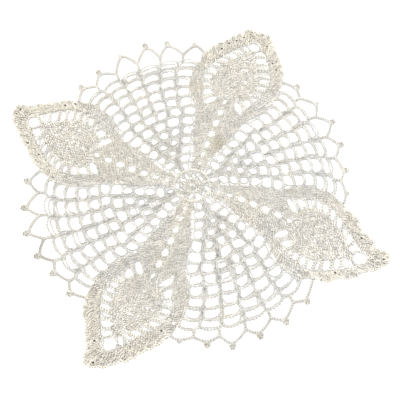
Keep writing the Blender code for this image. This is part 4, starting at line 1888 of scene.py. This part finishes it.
@dataclass(frozen=True)
class CottonThread:
    """Unbleached cotton thread, matt and a little fuzzy: greyer in the net, warm in the borders.

    The warmth trend and the painted light trends are for each metre along x, or x and y; the
    painted light trends lighten the thread across the doily as light falling unevenly would. The
    painted shade heights are the heights between which thread is painted lighter, so that thread
    low down between the others gets painted shade, and how light it is at both.
    """

    grey: tuple[float, float, float] = (0.53, 0.525, 0.50)
    cream: tuple[float, float, float] = (0.590, 0.556, 0.481)
    aged: tuple[float, float, float] = (0.46, 0.40, 0.29)
    sheen: float = 0.15
    shine: float = 0.2
    roughness: tuple[float, float] = (0.82, 0.97)
    slow: tuple[float, float] = (35.0, 2.0)
    fine: tuple[float, float] = (420.0, 3.0)
    slow_warmth: tuple[float, float] = (-0.12, 0.42)
    warm_trend: float = -1.4
    painted_light_trend: tuple[float, float] = (0.30, 0.22)
    blotch: tuple[float, float] = (0.87, 1.13)
    painted_shade_heights: tuple[float, float] = (0.75, 1.60)
    painted_shade_tones: tuple[float, float] = (0.58, 1.10)
    stain_core: float = 0.15
    stain_uneven: tuple[float, float] = (0.5, 1.2)
    ply_length: float = 0.8
    plies: float = 2.0
    ply_share: float = 0.35
    bump: float = 0.55
    bump_height: float = 0.12

    def material(self) -> bpy.types.Material:
        """The finish as nodes.

        Colour goes from grey to cream by each thread's warmth and a slow noise, is yellowed in
        two old spots, and is scaled by the thread's tone, which holds painted shade, a finer noise,
        painted shade by its height above the table and a painted light trend across the doily.

        Returns:
            The material.
        """
        recipe = Recipe("cotton_thread")
        feed, shader = recipe.feed, recipe.shader
        feed(shader.inputs["Sheen Weight"], self.sheen)
        feed(shader.inputs["Specular IOR Level"], self.shine)
        x, y, z = recipe.node("SeparateXYZ", {0: recipe.place}).outputs
        slow, fine = recipe.noise(*self.slow), recipe.noise(*self.fine)
        warm = recipe.add(recipe.attribute("warmth"), recipe.spread(slow, *self.slow_warmth))
        warm = recipe.add(warm, recipe.times(x, self.warm_trend))
        colour = recipe.blend(warm, self.grey, self.cream)
        colour = recipe.blend(self.stains(recipe, slow), colour, self.aged)
        # Painted shade: thread lying low near the table is painted darker, as in the shade between
        # threads.
        low, high = self.painted_shade_heights
        # Painted light: a slow gradient lightens the thread towards +x and +y.
        right, back = self.painted_light_trend
        trend = recipe.add(recipe.times(x, right), recipe.times(y, back))
        level = recipe.attribute("tone")
        for factor in (recipe.spread(fine, *self.blotch),
                       recipe.ramp(z, (low * MM, high * MM), self.painted_shade_tones),
                       recipe.add(trend, 1.0)):
            level = recipe.times(level, factor)
        scaled = recipe.node("VectorMath", {0: colour, "Scale": level}, operation="SCALE")
        feed(shader.inputs["Base Color"], scaled.outputs[0])
        feed(shader.inputs["Roughness"], recipe.spread(fine, *self.roughness))
        feed(shader.inputs["Normal"], self.ply_bump(recipe, fine))
        return recipe.made

    def stains(self, recipe: Recipe, slow: bpy.types.NodeSocket) -> bpy.types.NodeSocket:
        """How yellowed the thread is: soft round spots that fade out by a smooth step.

        Args:
            recipe: The material's nodes.
            slow: A slow noise that makes the spots uneven.

        Returns:
            The strength of the strongest spot at each place.
        """
        uneven = recipe.spread(slow, *self.stain_uneven)
        total = 0.0
        for x, y, reach, most in STAINS:
            away = recipe.node("VectorMath", {0: recipe.place, 1: (x * MM, y * MM, 0.0)},
                               operation="DISTANCE").outputs["Value"]
            fade = recipe.ramp(away, (self.stain_core * reach * MM, reach * MM), (most, 0.0),
                               "SMOOTHSTEP")
            total = recipe.step("MAXIMUM", recipe.times(fade, uneven), total)
        return total

    def ply_bump(self, recipe: Recipe, fuzz: bpy.types.NodeSocket) -> bpy.types.NodeSocket:
        """Relief of the thread's twisted plies with a fuzz of loose fibre on it.

        The plies are a sine of the length along the thread plus the turns round it.

        Args:
            recipe: The material's nodes.
            fuzz: A fine noise.

        Returns:
            The bent normal.
        """
        where = recipe.node("UVMap", uv_map="thread").outputs["UV"]
        along, turns, _ = recipe.node("SeparateXYZ", {0: where}).outputs
        phase = recipe.add(recipe.times(along, 2.0 * math.pi / self.ply_length),
                           recipe.times(turns, 2.0 * math.pi * self.plies))
        wave = recipe.times(recipe.step("SINE", phase), self.ply_share)
        inputs = {"Height": recipe.add(wave, fuzz), "Strength": self.bump,
                  "Distance": self.bump_height * MM}
        return recipe.node("Bump", inputs).outputs["Normal"]


@dataclass(frozen=True)
class PaleTable:
    """Matt pale paint with a faint mottle."""

    colour: tuple[float, float, float] = (0.93, 0.93, 0.925)
    darker: float = 0.985
    roughness: float = 0.95
    shine: float = 0.1
    mottle: tuple[float, float] = (6.0, 2.0)

    def material(self) -> bpy.types.Material:
        """The finish as nodes: a mix of the colour and a slightly darker one by a noise.

        Returns:
            The material.
        """
        recipe = Recipe("pale_table")
        recipe.feed(recipe.shader.inputs["Roughness"], self.roughness)
        recipe.feed(recipe.shader.inputs["Specular IOR Level"], self.shine)
        pale = tuple(share * self.darker for share in self.colour)
        colour = recipe.blend(recipe.noise(*self.mottle), pale, self.colour)
        recipe.feed(recipe.shader.inputs["Base Color"], colour)
        return recipe.made


@dataclass(frozen=True)
class TableTop:
    """A plain level table top under the doily. Its half side is in metres."""

    half: float = 3.0
    cells: int = 8
    finish: PaleTable = PaleTable()

    def build(self) -> bpy.types.Object:
        """Builds and dresses a level grid of points.

        Returns:
            The object.
        """
        across = self.cells + 1
        side = np.linspace(-self.half, self.half, across)
        x, y = np.meshgrid(side, side)
        points = np.stack((x.ravel(), y.ravel(), np.zeros(x.size)), axis=1)
        corner = np.arange(across * across).reshape(across, across)[:-1, :-1].ravel()
        faces = np.stack((corner, corner + 1, corner + across + 1, corner + across), axis=1)
        mesh = bpy.data.meshes.new("table_top")
        mesh.from_pydata(points, [], faces.tolist())
        mesh.update()
        mesh.materials.append(self.finish.material())
        floor = bpy.data.objects.new("table_top", mesh)
        bpy.context.scene.collection.objects.link(floor)
        return floor


@dataclass(frozen=True)
class Studio:
    """Soft even light from all round, one broad light over the left, and the camera.

    The camera's place is in millimetres; right and up are its own axes on the table, and its
    focal length is in the picture's points. The lamp's place and size are in metres.
    """

    position: tuple[float, float, float] = (108.380, -165.627, 500.7)
    right: tuple[float, float, float] = (0.90469, 0.42429, -0.03884)
    up: tuple[float, float, float] = (-0.38574, 0.85437, 0.34823)
    focal: float = 720.0
    picture: float = 400.0
    off_centre: float = 0.5
    film: float = 36.0
    clip: tuple[float, float] = (0.01, 10.0)
    sky: float = 1.8
    lamp_place: tuple[float, float, float] = (-0.55, 0.35, 0.9)
    lamp_side: float = 0.9
    lamp_power: float = 7.0

    def light(self) -> None:
        """A white sky and one broad soft lamp that faces the doily."""
        world = bpy.data.worlds.new("soft_white")
        world.use_nodes = True
        back = world.node_tree.nodes["Background"]
        back.inputs["Color"].default_value = (1.0, 1.0, 1.0, 1.0)
        back.inputs["Strength"].default_value = self.sky
        bpy.context.scene.world = world
        lamp = bpy.data.lights.new("broad_light", "AREA")
        lamp.shape = "SQUARE"
        lamp.size = self.lamp_side
        lamp.energy = self.lamp_power
        broad = bpy.data.objects.new("broad_light", lamp)
        broad.location = self.lamp_place
        broad.rotation_mode = "QUATERNION"
        broad.rotation_quaternion = (-Vector(self.lamp_place)).to_track_quat("-Z", "Y")
        bpy.context.scene.collection.objects.link(broad)

    def camera(self) -> None:
        """The camera at the photograph's angle, its view's middle half a point off centre."""
        right, up = np.array(self.right), np.array(self.up)
        ahead = unit(np.cross(up, right) + (up - right) * self.off_centre / self.focal)
        right = unit(np.cross(ahead, up))
        turned = np.eye(4)
        turned[:3, :3] = np.stack((right, np.cross(right, ahead), -ahead), axis=1)
        turned[:3, 3] = np.array(self.position) * MM
        data = bpy.data.cameras.new("camera")
        data.sensor_width = self.film
        data.lens = self.film * self.focal / self.picture
        data.clip_start, data.clip_end = self.clip
        camera = bpy.data.objects.new("camera", data)
        camera.matrix_world = Matrix(turned.tolist())
        bpy.context.scene.collection.objects.link(camera)
        bpy.context.scene.camera = camera
        bpy.context.scene.view_settings.view_transform = "Standard"


def main() -> None:
    """Sets up the light and the camera, builds the table top and the doily, and reports."""
    logging.basicConfig(level=logging.INFO, format="%(name)s: %(message)s")
    studio = Studio()
    studio.light()
    studio.camera()
    pieces = [TableTop().build()] + Doily().work(CottonThread().material())
    for piece in pieces:
        triangles = len(piece.data.loops) - 2 * len(piece.data.polygons)
        log.info("%s: %d triangles", piece.name, triangles)


if __name__ == "__main__":
    main()
